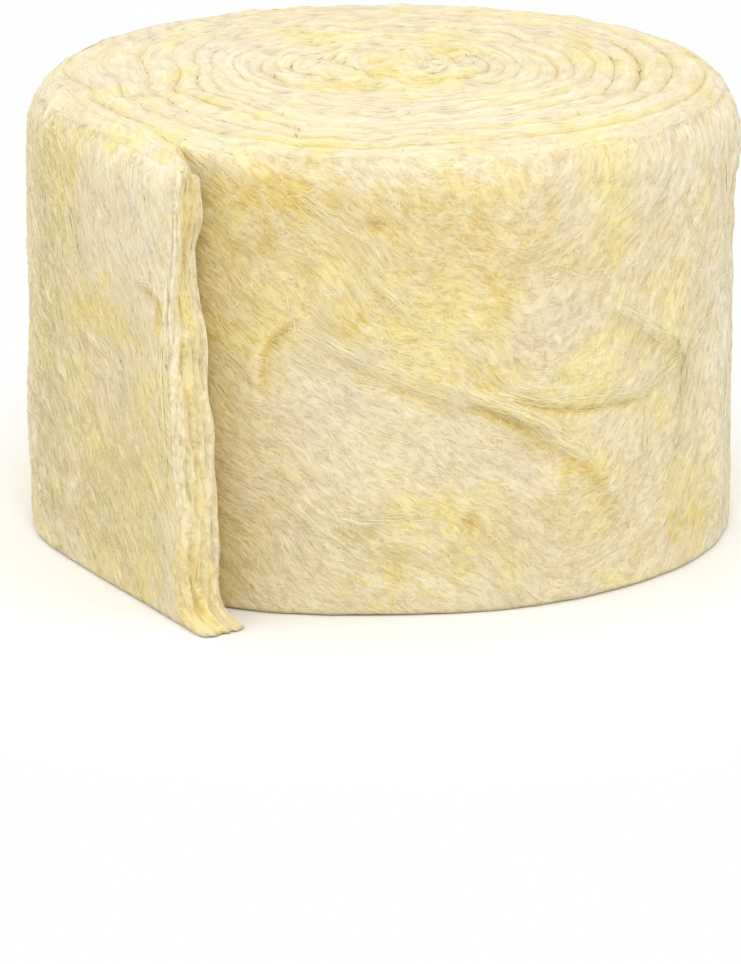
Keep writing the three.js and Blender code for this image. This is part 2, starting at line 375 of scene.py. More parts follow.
foot_arc, rim_arc = BASE_ROUNDING * math.pi / 4, (rounding * math.pi / 4)[:, None]
straight_part = (top_level - rounding - BASE_ROUNDING)[:, None]
profile_length = foot_arc + straight_part + rim_arc
climb = np.linspace(0, 1, ROWS + 1)[None, :] * profile_length  # millimetres up the profile
lean_foot = np.clip(1 - climb / foot_arc, 0, 1) * math.pi / 4
lean_rim = np.clip((climb - foot_arc - straight_part) / rim_arc, 0, 1) * math.pi / 4
inset = BASE_ROUNDING * (1 - np.cos(lean_foot)) + rounding[:, None] * (1 - np.cos(lean_rim))
height = BASE_ROUNDING * (1 - np.sin(lean_foot)) + np.clip(climb - foot_arc, 0, straight_part)
height = height + rounding[:, None] * np.sin(lean_rim)
lean = lean_rim - lean_foot  # how far the surface faces up, as an angle
print("rows", ROWS, "of", round(float(profile_length.mean() / ROWS), 2), "mm")

# %% [markdown]
# ## Folds in the wool's skin
# The outer skin of a wound blanket isn't a cylinder. It has soft lumps where the wool is thicker,
# folds where the skin was pushed together, and creases and small pockets where it tore. Sculpting
# them by hand couldn't be repeated, so each fold is written as a short path on the unrolled side
# (millimetres round from the root, millimetres up) and a cross-section: a slope that climbs to a
# crest, drops over a short step, and climbs out of a hollow.

# %% Fold profile


def smooth_path(points, count=40):
    """A path of count points through the given ones: each coordinate follows a cubic that has
    the slope of the neighbouring points."""
    points = np.array(points, float)
    knots = np.arange(len(points))
    slopes = np.gradient(points, axis=0)
    at = np.linspace(0, len(points) - 1, count)
    i = np.minimum(at.astype(int), len(points) - 2)
    t = (at - knots[i])[:, None]
    a, b, da, db = points[i], points[i + 1], slopes[i], slopes[i + 1]
    square, cube = t**2, t**3
    return (
        (2 * cube - 3 * square + 1) * a
        + (3 * square - 2 * cube) * b
        + (cube - 2 * square + t) * da
        + (cube - square) * db
    )


def from_path(s, z, points):
    """For places (s, z): signed distance to the path, positive on its right-hand side, and the
    share of the path's length at the nearest point."""
    path = smooth_path(points)
    near = np.full(s.shape, 1e9)
    signed, share = np.zeros(s.shape), np.zeros(s.shape)
    for i in range(len(path) - 1):
        way = path[i + 1] - path[i]
        length = np.linalg.norm(way) + 1e-9
        ds, dz = s - path[i, 0], z - path[i, 1]
        t = np.clip((ds * way[0] + dz * way[1]) / length**2, 0, 1)
        gap = np.hypot(ds - t * way[0], dz - t * way[1])
        side = np.sign(ds * way[1] - dz * way[0])
        closer = gap < near
        near = np.where(closer, gap, near)
        signed = np.where(closer, side * gap, signed)
        share = np.where(closer, (i + t) / (len(path) - 1), share)
    return signed, share


def fold(s, z, points, crest, hollow, slope=6.0, drop=1.2, climb_out=4.0):
    """Height of a fold along a path. On the left of the path it climbs to the crest over slope,
    on the right it drops below the surface over drop and comes back over climb_out."""
    gap, share = from_path(s, z, points)
    fade = np.sin(np.clip(share, 0, 1) * math.pi) ** 0.6
    wide = np.abs(gap) / (0.4 + 0.6 * fade)
    left = crest * hill(wide, slope)
    right = (crest + hollow) * hill(wide, drop) - hollow * hill(wide, climb_out)
    return fade * np.where(gap < 0, left, right)


at_crest = fold(np.array([5.0]), np.array([5.0]), [(0, 5), (10, 5)], 2, 1)[0]
print("height halfway along a test fold with a crest of 2:", round(float(at_crest), 2))

# %% Where the folds are
# (path, crest, hollow, slope, drop, climb_out), all in millimetres
FOLDS = [
    ([(28.9, 66), (27.3, 74.7), (27.6, 80), (29.3, 86.8), (34.5, 92.9), (42, 99.5)],
     1.0, 1.4, 3.0, 1.3, 5.0),
    ([(42, 93.5), (57, 84.5), (72.5, 77.3), (88.2, 71.2), (98, 67.8), (108, 63.5)],
     1.1, 0.4, 7.0, 2.2, 4.0),
    ([(92, 72), (98, 69.2), (104.3, 66.2), (112, 61.5), (118, 58)], 1.1, 2.0, 3.0, 1.1, 2.6),
    ([(94, 70.5), (104.3, 65.7), (116.1, 59.9), (124.9, 52.9), (134.2, 46), (142.2, 39),
      (145.6, 30.9), (145.2, 22)], 1.4, 0.5, 6.0, 2.2, 4.0),
    ([(104, 71.5), (112, 69.3), (122, 66.3), (134, 64.2), (147, 64.2), (160, 62.8)],
     1.0, 1.2, 8.0, 1.2, 3.2),
    ([(52, 32.5), (62, 29.6), (72.5, 29.5), (85.1, 30.7), (91, 33), (97, 27)],
     -0.2, 1.0, 6.0, 2.5, 5.0),
    ([(144, 94), (152, 89.5), (161.3, 83.7), (171, 78.5), (178, 71), (180.8, 63), (178, 54)],
     0.9, 0.4, 5.0, 2.0, 5.0),
    ([(160.5, 62), (160.8, 52.6), (159.1, 43), (157.5, 35), (154, 28)], 0.7, 0.4, 1.2, 1.0, 2.0),
    ([(186, 51), (181.5, 46), (175.7, 41.9), (168, 36)], 0.6, 0.3, 1.1, 1.0, 2.0),
    ([(206, 84.5), (200, 81), (194.2, 78.1), (188.3, 74.5), (183, 71)], 0.8, 0.5, 1.2, 1.0, 2.2),
    ([(157, 62.5), (166.5, 67.9), (178, 71)], 0.6, 0.4, 1.5, 1.0, 2.2),
    ([(228, 119), (231, 114), (228, 108), (229, 101)], 0.9, 1.8, 3.0, 1.6, 4.0),
    ([(36, 140), (47.9, 130.8), (55.6, 126.1), (64, 119.5)], 0.5, 0.3, 1.2, 1.0, 2.0),
    ([(64, 109), (71, 102.1), (78, 94)], 0.5, 0.4, 1.2, 1.0, 2.5),
    ([(98, 114), (101.5, 110), (104.5, 105.5), (109, 100.5)], 0.8, 0.6, 2.0, 1.2, 3.0),
    # the tail's outer face
    ([(718, 106.5), (728, 106), (738, 105), (746, 102), (750, 97), (751, 91)],
     1.1, 1.5, 3.0, 1.2, 5.0),
    ([(672, 81.5), (679, 79.8), (686.1, 78.7), (697.3, 76.1), (710, 73)], 0.6, 0.5, 1.5, 1.2, 3.0),
    ([(662, 131), (668, 122), (675, 112), (681, 101)], 0.5, 0.4, 1.6, 1.2, 3.0),
    ([(706, 141), (712, 135.5), (720, 129)], 0.5, 0.4, 2.0, 1.2, 3.0),
    ([(716, 52), (727, 43), (740, 33)], 0.5, 0.5, 2.0, 1.2, 3.0),
    ([(676, 62), (690, 52), (702, 38)], 0.6, 0.5, 4.0, 2.0, 5.0),
    # the back and the far side, plainer
    ([(292, 108), (312, 97), (331, 93), (352, 84)], 1.1, 0.9, 7.0, 2.0, 6.0),
    ([(384, 46), (404, 58), (427, 61), (446, 70)], 1.2, 0.9, 7.0, 2.0, 6.0),
    ([(470, 118), (489, 110), (506, 96), (518, 80)], 1.0, 0.9, 6.0, 2.0, 5.0),
    ([(548, 44), (566, 49), (588, 46), (604, 36)], 1.0, 0.8, 6.0, 2.0, 6.0),
    ([(596, 112), (610, 102), (622, 88)], 0.9, 0.7, 5.0, 1.6, 4.0),
]
# (millimetres round, millimetres up, half width, half height, rise)
LUMPS = [
    (752, 105, 5, 8, 0.9), (64.5, 10, 5.5, 5.5, 1.2), (72, 12, 4, 7, -0.9),
    (65.5, 130, 3.2, 2.2, 0.9), (66, 126.5, 4, 2, -0.8), (52, 92, 6, 4, -1.0), (88, 24, 12, 6, 0.9),
    (70, 26, 7, 4, 0.8), (96, 29, 3, 3, -1.2), (112, 79, 10, 6, -0.8), (146, 74, 14, 8, 1.1),
    (118, 52, 8, 7, -1.0), (233, 128, 12, 14, 1.6), (229, 113, 4, 9, -1.5), (34, 42, 10, 14, -0.8),
    (175, 130, 16, 14, 0.8), (190, 60, 16, 20, -0.6), (20, 110, 10, 30, -0.8),
    (100, 136, 30, 8, 0.7),
]

s_grid = np.broadcast_to(along_loop[:, None], climb.shape)
relief = np.zeros(climb.shape)
for path, *shape in FOLDS:
    relief += fold(s_grid, height, path, *shape)
for s0, z0, wide, tall, rise in LUMPS:
    relief += rise * hill(np.hypot((s_grid - s0) / wide, (height - z0) / tall), 1)
print("folds from", round(float(relief.min()), 2), "to", round(float(relief.max()), 2), "mm")

# %% [markdown]
# ## The way the fibres run
# Glass wool isn't woven. Its fibres are blown onto a belt and then dragged, so they lie in soft
# streams: on this roll they fall to the right on the left half and rise to the right on the right
# half. A texture that follows them needs a coordinate whose level lines are those streams. Here it
# is the height plus the stream's fall so far, summed round the roll. The two ends get the distance
# along the blanket and the distance across it instead, and the tail's cut end gets the height,
# because there the plies of felt show their edges and run upright.

# %% Streams on the side
# (millimetres round, millimetres that the stream falls for each one)
FALL = np.array([
    [-20, 0.75], [40, 0.8], [80, 0.75], [104, 0.35], [130, -0.45], [160, -0.85], [230, -0.7],
    [290, -0.2], [350, 0.45], [430, 0.7], [490, 0.1], [540, -0.5], [590, -0.1], [640, 1.0],
    [690, 1.6], [740, 2.4], [900, 2.4],
])
fine_s = np.arange(-120.0, 900.0)
fallen = np.cumsum(np.interp(fine_s, FALL[:, 0], FALL[:, 1]))


def stream(s, z):
    """(along, across) of the streams, in millimetres: across is the height plus what the stream
    has fallen so far, with a slow random bend, and the turn of its way leans over with height."""
    place = np.stack([s, z], -1)
    bend = waves(place, 55, 11, 16) * 2.2 + waves(place, 19, 12, 16) * 0.5
    leaned = s - 0.3 * (100 - z)
    return np.stack([s, z + np.interp(leaned, fine_s, fallen) + bend], -1)


def stream_way(s, z):
    """Unit direction (ds, dz) of the stream at a place, from the gradient of across."""
    half = 0.5  # millimetres to either side
    rise_round = stream(s + half, z)[..., 1] - stream(s - half, z)[..., 1]
    rise_up = stream(s, z + half)[..., 1] - stream(s, z - half)[..., 1]
    size = np.hypot(rise_round, rise_up)
    return np.stack([rise_up / size, -rise_round / size], -1)


print("stream slope at the front", stream_way(np.array([60.0, 180.0]), np.array([80.0, 80.0])))

# %% [markdown]
# ## The cut end of the tail
# The tail was torn and cut square to the blanket, and it has slumped. Its edges stand well back
# from the tip, but the foot has dragged forward on the floor and its plies have splayed. At the
# top the middle has sunk between two lips, and further down narrow cracks run between the plies.
# The two edges are lines through named places, and the face between them is blended. The whole
# tail is shifted with them, more towards its tip, so the grid stays whole.

# %% The cut end
# (height, how far the edge lies ahead of the tip), in millimetres
OUTER_EDGE = [(0, 2), (1.5, -1), (3, -8), (4.5, -13), (7, -14.8), (25, -15), (45, -17), (60, -18),
              (76, -18.5), (104, -18.5), (115, -17), (125, -15.5), (135, -14), (152, -13)]
INNER_EDGE = [(0, -1), (2, -3), (4, -6), (7, -10), (14, -10.5), (28, -11.6), (50, -13.5), (66, -14),
              (78, -16), (94, -18), (106, -23), (118, -26), (124, -23), (130, -19.5), (140, -19),
              (152, -17)]
SPLAY, SPLAY_HEIGHT = 5.6, 8.0  # how far the foot's inner plies spread towards the roll
# (path in millimetres across from the outer face and up, depth, half width)
CRACKS = [
    ([(0.3, 1), (0.9, 6), (1.2, 14), (0.8, 24), (1.2, 36)], 1.7, 0.45),
    ([(3.2, 47), (4.2, 42), (5.2, 36)], 1.4, 0.45),
    ([(4.0, 28), (4.6, 20), (4.3, 14), (5.0, 8), (6.4, 2)], 1.5, 0.5),
    ([(3.4, 96), (4.2, 84), (4.7, 75), (5.8, 65), (6.7, 52), (6.8, 38), (7.6, 29)], 1.3, 0.6),
    ([(9.6, 66), (9.2, 52), (9.8, 40)], 0.5, 0.5),
    ([(9.0, 26), (9.4, 16), (8.8, 6)], 0.6, 0.5),
    ([(1.6, 60), (2.0, 74), (1.5, 90)], 0.6, 0.5),
]


def edge_line(places):
    """An edge's place ahead of the tip at every height, through the given places."""
    places = np.array(places, float)
    return np.interp(height, places[:, 0], places[:, 1])


upright = np.stack([height, 0 * height], -1)
tatter = 0.8 * waves(upright, 24, 41, 12) + 0.14 * waves(upright, 7, 42, 12)
tatter = tatter * np.clip(height / 12, 0.1, 1)
outer_edge, inner_edge = edge_line(OUTER_EDGE), edge_line(INNER_EDGE)
mm_across = THICKNESS * across[:, None] + 0 * height
shift = outer_edge + (inner_edge - outer_edge) * smooth_step(across[:, None]) + tatter
outer_corner = np.clip(1 - mm_across / 3.6, 0, 1) ** 2 * 2.6
inner_corner = np.clip(mm_across / 1.8 - 6.1, 0, 1) ** 2 * 1.2
corner = outer_corner + inner_corner  # both edges are rounded off
sunk_top = 2.4 * hill((mm_across - 6.2) / 3.4, 1) * smooth_step((height - 88) / 22)
plies = 0.45 * waves(np.stack([mm_across * 3.0, height * 0.3], -1), 6.0, 43, 24)
plies = plies * smooth_step(mm_across / 1.5)
face = plies - corner - sunk_top * smooth_step((150 - height) / 8)
cracks = np.zeros(climb.shape)
for path, deep, wide in CRACKS:
    gap, share = from_path(mm_across, height, path)
    fade = np.sin(np.clip(share, 0.02, 0.98) * math.pi) ** 0.5
    cracks = np.maximum(cracks, 0.7 * fade * deep * hill(gap / wide, 1))
face = (face - cracks) * smooth_step((WIDTH + 1 - height) / 8)
shift = shift + np.where(on_end[:, None], face, -corner)
shift = shift * (tip_share**1.2)[:, None]
shift = np.where(on_wall[:, None], 0, shift)
true_s = s_grid + np.where(on_end[:, None], 0, shift)  # where a place of the tail came to lie
to_tip = (s_grid + shift)[OUTER_TIP] - (s_grid + shift)  # millimetres left to the cut end
squeeze = np.gradient(true_s, axis=0) / np.gradient(s_grid, axis=0)  # less than 1 on the tail
squeeze = np.where(on_end[:, None] | on_wall[:, None], 1, np.clip(squeeze, 0.15, 1.2))
side_grain = np.concatenate([stream(true_s, height), np.zeros((*climb.shape, 1))], -1)
cut_grain = np.stack([height + 0 * s_grid, s_grid, 60 + 0 * s_grid], -1)  # the plies run upright
splay = SPLAY * np.clip(1 - height / SPLAY_HEIGHT, 0, 1) ** 2 * (tip_share**3 * across)[:, None]
tip_edge = outer_edge[OUTER_TIP]
print("cut end: outer edge", tip_edge.min(), "to", tip_edge.max().round(1), "mm ahead of the tip")

# %% [markdown]
# ## The side's surface
# The relief is added along the surface's own normal, so the rim swells up and out together. Four
# long waves, the same as in the CAD solid, make the side uneven. Three sizes of shorter ones stand
# for lumps, for felt that is drawn out along the streams, and for small tufts. Pits a few
# millimetres wide, where the skin is thin, are cut by a wave that only counts near its crests. Near
# the cut end the relief dies away, and the skin bends in over the last few millimetres.

# %% Side points
SWELL_RISE = 0.4  # height of each long wave
# (waves once round, waves up the width, where the wave starts)
SWELLS = [(2, 0.3, 0.53), (-1, 0.3, 0.65), (-9, 1.6, 0.51), (5, 1.0, 0.33)]


def swell(places):
    """How far the side stands out at places, because the wool is uneven: a sum of long waves."""
    around = np.arctan2(places[..., 1], places[..., 0])
    up = places[..., 2] / WIDTH
    return SWELL_RISE * sum(np.sin(n * around + FULL_TURN * (m * up + a)) for n, m, a in SWELLS)


plan = loop[:, None, :] - outward[:, None, :] * inset[..., None]
rest = np.concatenate([plan, height[..., None]], -1)
inside = column > INNER_TIP
streaky = side_grain * np.array([0.55, 1.0, 1.0])  # drawn out along the stream
bulk = swell(rest) * np.where(inside, 0, 1)[:, None] + 0.22 * waves(rest, 20, 2)
felt = 0.15 * waves(streaky, 8.5, 3) + 0.08 * waves(streaky, 3.6, 4)
pits = np.clip(waves(side_grain * np.array([0.6, 1, 1]), 6.5, 5) - 1.35, 0, 1.2)
pits = pits * (0.35 + 0.65 * smooth_step((height - 70) / 40)) * ~on_end[:, None]
calm = np.where(on_end, 0.12, 1.0)[:, None]  # the cut end has its own relief
calm = calm * np.where(inside | (column < 30), 0.6, 1.0)[:, None]  # the wedge is pressed smooth
settle = np.where((column <= OUTER_TIP)[:, None], smooth_step(to_tip / 8), 1)
rise = (bulk + felt - 0.55 * pits) * calm * (0.12 + 0.88 * settle)
rise = rise + np.where(on_end | inside, 0, 1)[:, None] * relief * settle
near_tip = np.clip(1 - to_tip / 5, 0, 1) ** 2 * (column <= OUTER_TIP)[:, None]
rise = rise - 1.0 * near_tip
rise = rise * np.clip(0.25 + height / 10, 0, 1)  # the floor keeps the foot in line

side = rest.copy()
side[..., :2] += outward[:, None, :] * (rise * np.cos(lean))[..., None]
side[..., 2] += rise * np.sin(lean)
side[..., :2] += TAIL_WAY * shift[..., None]
side[..., :2] -= TAIL_NORMAL * splay[..., None]
pulled_in = np.clip(1 - mm_across / 3.2, 0, 1) ** 1.5 * (on_end & (column > OUTER_TIP))[:, None]
side[..., :2] -= TAIL_NORMAL * pulled_in[..., None]  # so the end starts where the outer face stops
side[..., 2] = np.maximum(side[..., 2], 0.25)  # nothing reaches through the floor
print("side box", side.reshape(-1, 3).min(0).round(1), side.reshape(-1, 3).max(0).round(1))

# %% [markdown]
# ## The two ends
# On the ends the turns show as crowned rings with soft grooves between them. Each turn's section
# is a few columns from its inner line to its outer line, and the outer line of one turn is the
# inner line of the next, so the ends are two continuous sheets and no gap can open. The rings are
# never even: some lie higher than their neighbours, the lines waver, and the crumpled start of the
# blanket is squashed to an oval. A soft warp of the plan, a slow change of height along the
# blanket and a changing depth of groove give all three.

# %% Columns across a turn
TOP_COLUMNS, BASE_COLUMNS = 6, 2


def shares(columns):
    """Where the columns stand across a turn, from 0 to 1, close together near both lines:
    (1 - cos(pi j / columns)) / 2."""
    return 0.5 - 0.5 * np.cos(math.pi * np.arange(columns + 1) / columns)


STATION_COUNT = ROOT_STATION + 1 + TAIL_STATIONS  # stations of the top, the tail's among them
print("the top's columns stand at", shares(TOP_COLUMNS).round(2), "of", STATION_COUNT, "stations")

# %% Grooves and heights of the turns
# seams that stand open, or shut where the extra depth is less than 0:
# (turns in from the root at their start, length in turns, extra depth)
OPEN_SEAMS = [
    (0.22, 0.28, 1.4), (3.2, 0.35, 1.8), (1.06, 0.42, 1.6), (0.60, 0.25, 0.9), (2.15, 0.55, 1.2),
    (3.10, 0.50, 2.4), (4.10, 0.30, 1.6), (2.85, 0.30, 1.0), (5.2, 0.5, 0.8), (7.1, 0.6, 1.4),
    (9.3, 0.4, 1.0), (11.1, 0.6, 1.5), (1.5, 0.4, -0.6), (2.5, 0.4, -0.6), (3.45, 0.4, -0.5),
    (3.65, 0.2, 1.2), (4.6, 0.25, 1.0), (1.7, 0.2, 0.9), (13.2, 0.7, 1.8),
]


def groove_depth(turn):
    """Depth of the groove at a line: about 0.6 mm, wavering along the blanket, half as much at the
    core, and deeper where a named seam stands open or shallower where it is pressed shut."""
    arc = np.stack([turn * 9.0, 0 * turn], -1)
    depth = 0.6 + 0.25 * waves(arc, 3.2, 51, 16) + 0.1 * waves(arc, 1.1, 52, 16)
    depth = depth * (0.5 + 0.5 * smooth_step((turn - 2) / 4))
    for turns_in, length, extra in OPEN_SEAMS:
        start = ROOT_TURN - turns_in
        depth = depth + 0.7 * extra * hill((turn - start - length / 2) / (length / 2), 1)
    return np.maximum(depth, 0.15)


def ring_height(turn):
    """How much higher or lower than its neighbours a turn lies: slow waves along the blanket,
    level at the core and where the turn is the free outer one."""
    arc = np.stack([turn * 9.0, 0 * turn], -1)
    level = 0.4 * waves(arc, 7.0, 61, 16) + 0.12 * waves(arc, 2.6, 62, 16)
    inner_end = smooth_step((turn - 1) / 1.5)
    return level * inner_end * smooth_step((ROOT_TURN - 0.6 - turn) / 0.5)


depths = groove_depth(np.linspace(1, ROOT_TURN, 400))
print("groove depths", depths.min().round(2), "to", depths.max().round(2), "mm")

# %% Warp and lumps of the ends
# (x, y, push in x, push in y, reach) in millimetres, where the turns were pushed aside
PUSHES = [
    (-79, -6, 10, 0, 20), (-56, -61, 3, 3, 16), (-26, -80, -1, -5, 16), (-8, -82, -1, -9, 20),
    (-104, -24, 6, 1, 16), (0, 0, 0, 8, 40),
]


def warp(points):
    """Plan of the ends after the turns have been pushed about: a few named pushes that fade as
    bells, a soft wave field that dies away at the rim, and near the core a squash that makes the
    rings oval."""
    moved = points
    for x, y, dx, dy, reach in PUSHES:
        near = hill(np.hypot(points[..., 0] - x, points[..., 1] - y), reach)
        moved = moved + near[..., None] * np.array([dx, dy])
    points = moved
    radius = np.linalg.norm(points, axis=-1, keepdims=True)
    inside_rim = smooth_step((104 - radius) / 30)
    sway = np.stack([waves(points, 52, 71, 20), waves(points, 52, 72, 20)], -1) * 0.9
    shake = np.stack([waves(points, 17, 73, 20), waves(points, 17, 74, 20)], -1) * 0.2
    squash = np.array([0.05, -0.16]) * points * smooth_step((80 - radius) / 60)
    waist = np.array([-0.06, 0.0]) * points * hill(radius - 72, 22)
    return points + inside_rim * (sway + shake) + squash + waist


def end_lift(points):
    """Soft lumps of an end face, strongest over the crumpled core."""
    radius = np.linalg.norm(points, axis=-1)
    crumple = smooth_step((46 - radius) / 40)
    slow = (0.3 + 0.5 * crumple) * waves(points, 21, 81, 24)
    quick = (0.08 + 0.4 * crumple) * waves(points, 8, 82, 24)
    return slow + quick


print("the middle of the roll is pushed to", warp(np.zeros((1, 2)))[0].round(1), "mm")

# %% The crown of a turn
INNER_ROUNDING = 10.0  # of the tail's inner edge at the top


def round_drop(distance, rounding):
    """How far a quarter circle lies below its crest, so far in from the face:
    rounding - sqrt(rounding^2 - reach^2), where reach is what is left of the rounding."""
    reach = np.clip(rounding - distance, 0, rounding)
    return rounding - np.sqrt(rounding**2 - reach**2)


def crown_drop(share, distance_in, distance_out, line_in, line_out, free_in, free_out, round_out):
    """How far the face lies back across a turn: half a groove from each covered line, a quarter
    circle at a free edge, or a blend of the two, whichever side's is deeper. A groove is a narrow
    slit in a soft dip: 0.65 near^2 + 0.35 near^10 of its depth, with near 1 at the line."""
    near_in, near_out = np.clip(1 - 2 * share, 0, 1), np.clip(2 * share - 1, 0, 1)
    groove_in = line_in * (0.65 * near_in**2 + 0.35 * near_in**10)
    groove_out = line_out * (0.65 * near_out**2 + 0.35 * near_out**10)
    first = groove_in + free_in * (round_drop(distance_in, INNER_ROUNDING) - groove_in)
    second = groove_out + free_out * (round_drop(distance_out, round_out) - groove_out)
    return np.maximum(first, second)


print("a rim of 14 mm drops by", round_drop(np.array([0.0, 4.0, 9.0]), TOP_ROUNDING).round(1),
      "mm at 0, 4 and 9 mm from its face")

# %% [markdown]
# ## Numbering the points
# The side's grid comes first, then the inner points of the top, then those of the base. Points on
# the rim belong to the side, so both sheets borrow their numbers. Along the rim a station of the
# ends meets two steps of the side, so the outermost cells of the ends have five corners, and at
# the cut end they have more.

# %% Numbers of the side and the sheets
side_number = np.arange(COLUMNS * (ROWS + 1)).reshape(COLUMNS, ROWS + 1)
points = [side.reshape(-1, 3)]
point_count = side_number.size


def sheet_numbers(columns, row):
    """Number of every point of an end sheet, by station and column. Line points are numbered once
    and shared by the turns on both sides. Rim points are those of the side's given row."""
    global point_count
    inner = point_count + np.arange(ROOT_STATION * columns).reshape(ROOT_STATION, columns)
    last = inner.max() + 1 + np.arange(TAIL_STATIONS * (columns - 1)).reshape(TAIL_STATIONS, -1)
    numbers = np.zeros((STATION_COUNT, columns + 1), int)
    rim = side_number[:, row]
    numbers[:ROOT_STATION, :columns] = inner
    covered = ROOT_STATION - STATIONS
    numbers[:covered, columns] = inner[STATIONS : STATIONS + covered, 0]
    stations = np.arange(covered, STATION_COUNT)
    numbers[stations, columns] = rim[(stations - covered) * FINE]
    numbers[ROOT_STATION:, 0] = rim[-np.arange(TAIL_STATIONS + 1) * FINE % COLUMNS]
    numbers[ROOT_STATION : STATION_COUNT - 1, 1:columns] = last
    tip = rim[OUTER_TIP + (columns - np.arange(columns + 1)) * (END_STEPS // columns)]
    numbers[-1] = tip
    point_count = last.max() + 1
    return numbers


top_number = sheet_numbers(TOP_COLUMNS, ROWS)
base_number = sheet_numbers(BASE_COLUMNS, 0)
print("points before the core:", point_count)

# %% Points of the sheets
RIM_INSET = 0.293  # 1 - cos(45 degrees): the side's profile has come in by this much of its circle


def sheet_points(columns, is_top):
    """Places of an end sheet's own points. In plan each column lies at its share of the way from
    the turn's inner line to its outer line; its height is the level less the crown's drop."""
    station = np.arange(STATION_COUNT)
    turn = turn_at(np.minimum(station, ROOT_STATION))
    tail = np.clip((station - ROOT_STATION) / TAIL_STATIONS, 0, 1)
    rim_row = ROWS if is_top else 0
    rim = side[:, rim_row]
    covered_line = warp(line_plan(turn))
    inner = np.where((station < ROOT_STATION)[:, None], covered_line, 0)
    inner[ROOT_STATION:] = rim[-np.arange(TAIL_STATIONS + 1) * FINE % COLUMNS, :2]
    outer = np.zeros_like(inner)
    covered = ROOT_STATION - STATIONS
    outer[:covered] = covered_line[STATIONS : STATIONS + covered]
    outer[covered:] = rim[(station[covered:] - covered) * FINE, :2]
    share = shares(columns)[None, :]
    grid = inner[:, None] + share[..., None] * (outer - inner)[:, None]
    wide = np.linalg.norm(outer - inner, axis=1)[:, None]

    opening = np.clip((station - covered) / STATIONS / 0.08, 0, 1)
    free_out = smooth_step(opening)[:, None]
    free_in = smooth_step(tail * 1.5)[:, None]
    inset_out = RIM_INSET * TOP_ROUNDING * free_out
    depth_in = groove_depth(turn)[:, None]
    depth_out = groove_depth(turn + 1)[:, None]
    level = np.stack([ring_height(turn - 1), ring_height(turn), ring_height(turn + 1)])
    step_in = 0.5 * (level[0] - level[1])[:, None] * (1 - share) ** 3
    step_out = 0.5 * (level[2] - level[1])[:, None] * share**3
    ring = level[1][:, None] + step_in + step_out
    narrow = np.clip(wide / INNER_TURN, 0, 1)
    if is_top:
        distance_out = inset_out + (1 - share) * wide
        distance_in = RIM_INSET * INNER_ROUNDING * free_in + share * wide
        drop = crown_drop(
            share, distance_in, distance_out, depth_in, depth_out, free_in, free_out,
            TOP_ROUNDING,
        )
        z = WIDTH - rim_fall(grid) - drop * narrow + ring * (1 - free_out)
        z = z - TAIL_SLUMP * tail[:, None] ** 2 * (1 - share) * (share > 0)
        z = z + end_lift(grid) * (1 - 0.6 * free_out)
    else:
        drop = crown_drop(share, 9.0, 9.0, 2.0, 2.0, 0, 0, np.array([[2.0]]))
        z = 0.15 + drop * narrow + 0.12 * np.abs(waves(grid, 14, 83, 16))
    return np.concatenate([grid, z[..., None]], -1)


def own_points(numbers, places, first):
    """The points that a sheet adds, in the order of their numbers."""
    flat, where = np.unique(numbers.ravel(), return_index=True)
    keep = flat >= first
    return places.reshape(-1, places.shape[-1])[where[keep]]


top_places = sheet_points(TOP_COLUMNS, True)
base_places = sheet_points(BASE_COLUMNS, False)
first_top, first_base = side_number.size, base_number[0, 0]
points.append(own_points(np.minimum(top_number, first_base), top_places, first_top))
points.append(own_points(base_number, base_places, first_base))
print("top from", top_places[..., 2].min().round(1), "to", top_places[..., 2].max().round(1), "mm")

# %% [markdown]
# ## Faces and their grain
# Each patch of faces carries the grain at its corners: on the side that is the stream, and on the
# ends it is the distance along the blanket and across it. The values jump where two turns meet,
# as the wool itself does, so they are stored for face corners and not for points.

# %% Faces of the side
patches = []  # (point numbers of each face, grain at each corner)


def quads(numbers, grain):
    """Faces between neighbours of a grid of numbers, with the grain of their corners."""
    corner = [(0, 0), (1, 0), (1, 1), (0, 1)]
    last_i, last_j = numbers.shape[0] - 1, numbers.shape[1] - 1
    faces = [numbers[i : last_i + i, j : last_j + j] for i, j in corner]
    grains = [grain[i : last_i + i, j : last_j + j] for i, j in corner]
    patches.append((
        np.stack(faces, -1).reshape(-1, 4),
        np.stack(grains, -2).reshape(-1, 4, grain.shape[-1]),
    ))


closed_number = np.concatenate([side_number, side_number[:1]])
closed_grain = np.concatenate([side_grain, side_grain[-1:] + [1.3, 0, 0]])
quads(closed_number[: OUTER_TIP + 1], closed_grain[: OUTER_TIP + 1])
quads(closed_number[OUTER_TIP : INNER_TIP + 1], cut_grain[OUTER_TIP : INNER_TIP + 1])
quads(closed_number[INNER_TIP:], closed_grain[INNER_TIP:])
print("faces of the side:", sum(len(f) for f, g in patches))

# %% Faces along the rim of an end


def sheet_grain(places):
    """(along, across, layer) on an end sheet: length along the blanket's middle, distance across
    the turn, and the turn it belongs to, so that no two turns share a pattern."""
    middle = places[:, places.shape[1] // 2, :2]
    along = np.concatenate([[0], np.cumsum(np.linalg.norm(np.diff(middle, axis=0), axis=1))])
    across = np.linalg.norm(places[..., :2] - places[:, :1, :2], axis=-1)
    turn = np.arange(STATION_COUNT) / STATIONS
    layer = 9.0 * turn
    ones = np.ones(across.shape)
    return np.stack(
        [0.25 * along[:, None] * ones, across + 3.0 * turn[:, None], layer[:, None] * ones], -1
    )


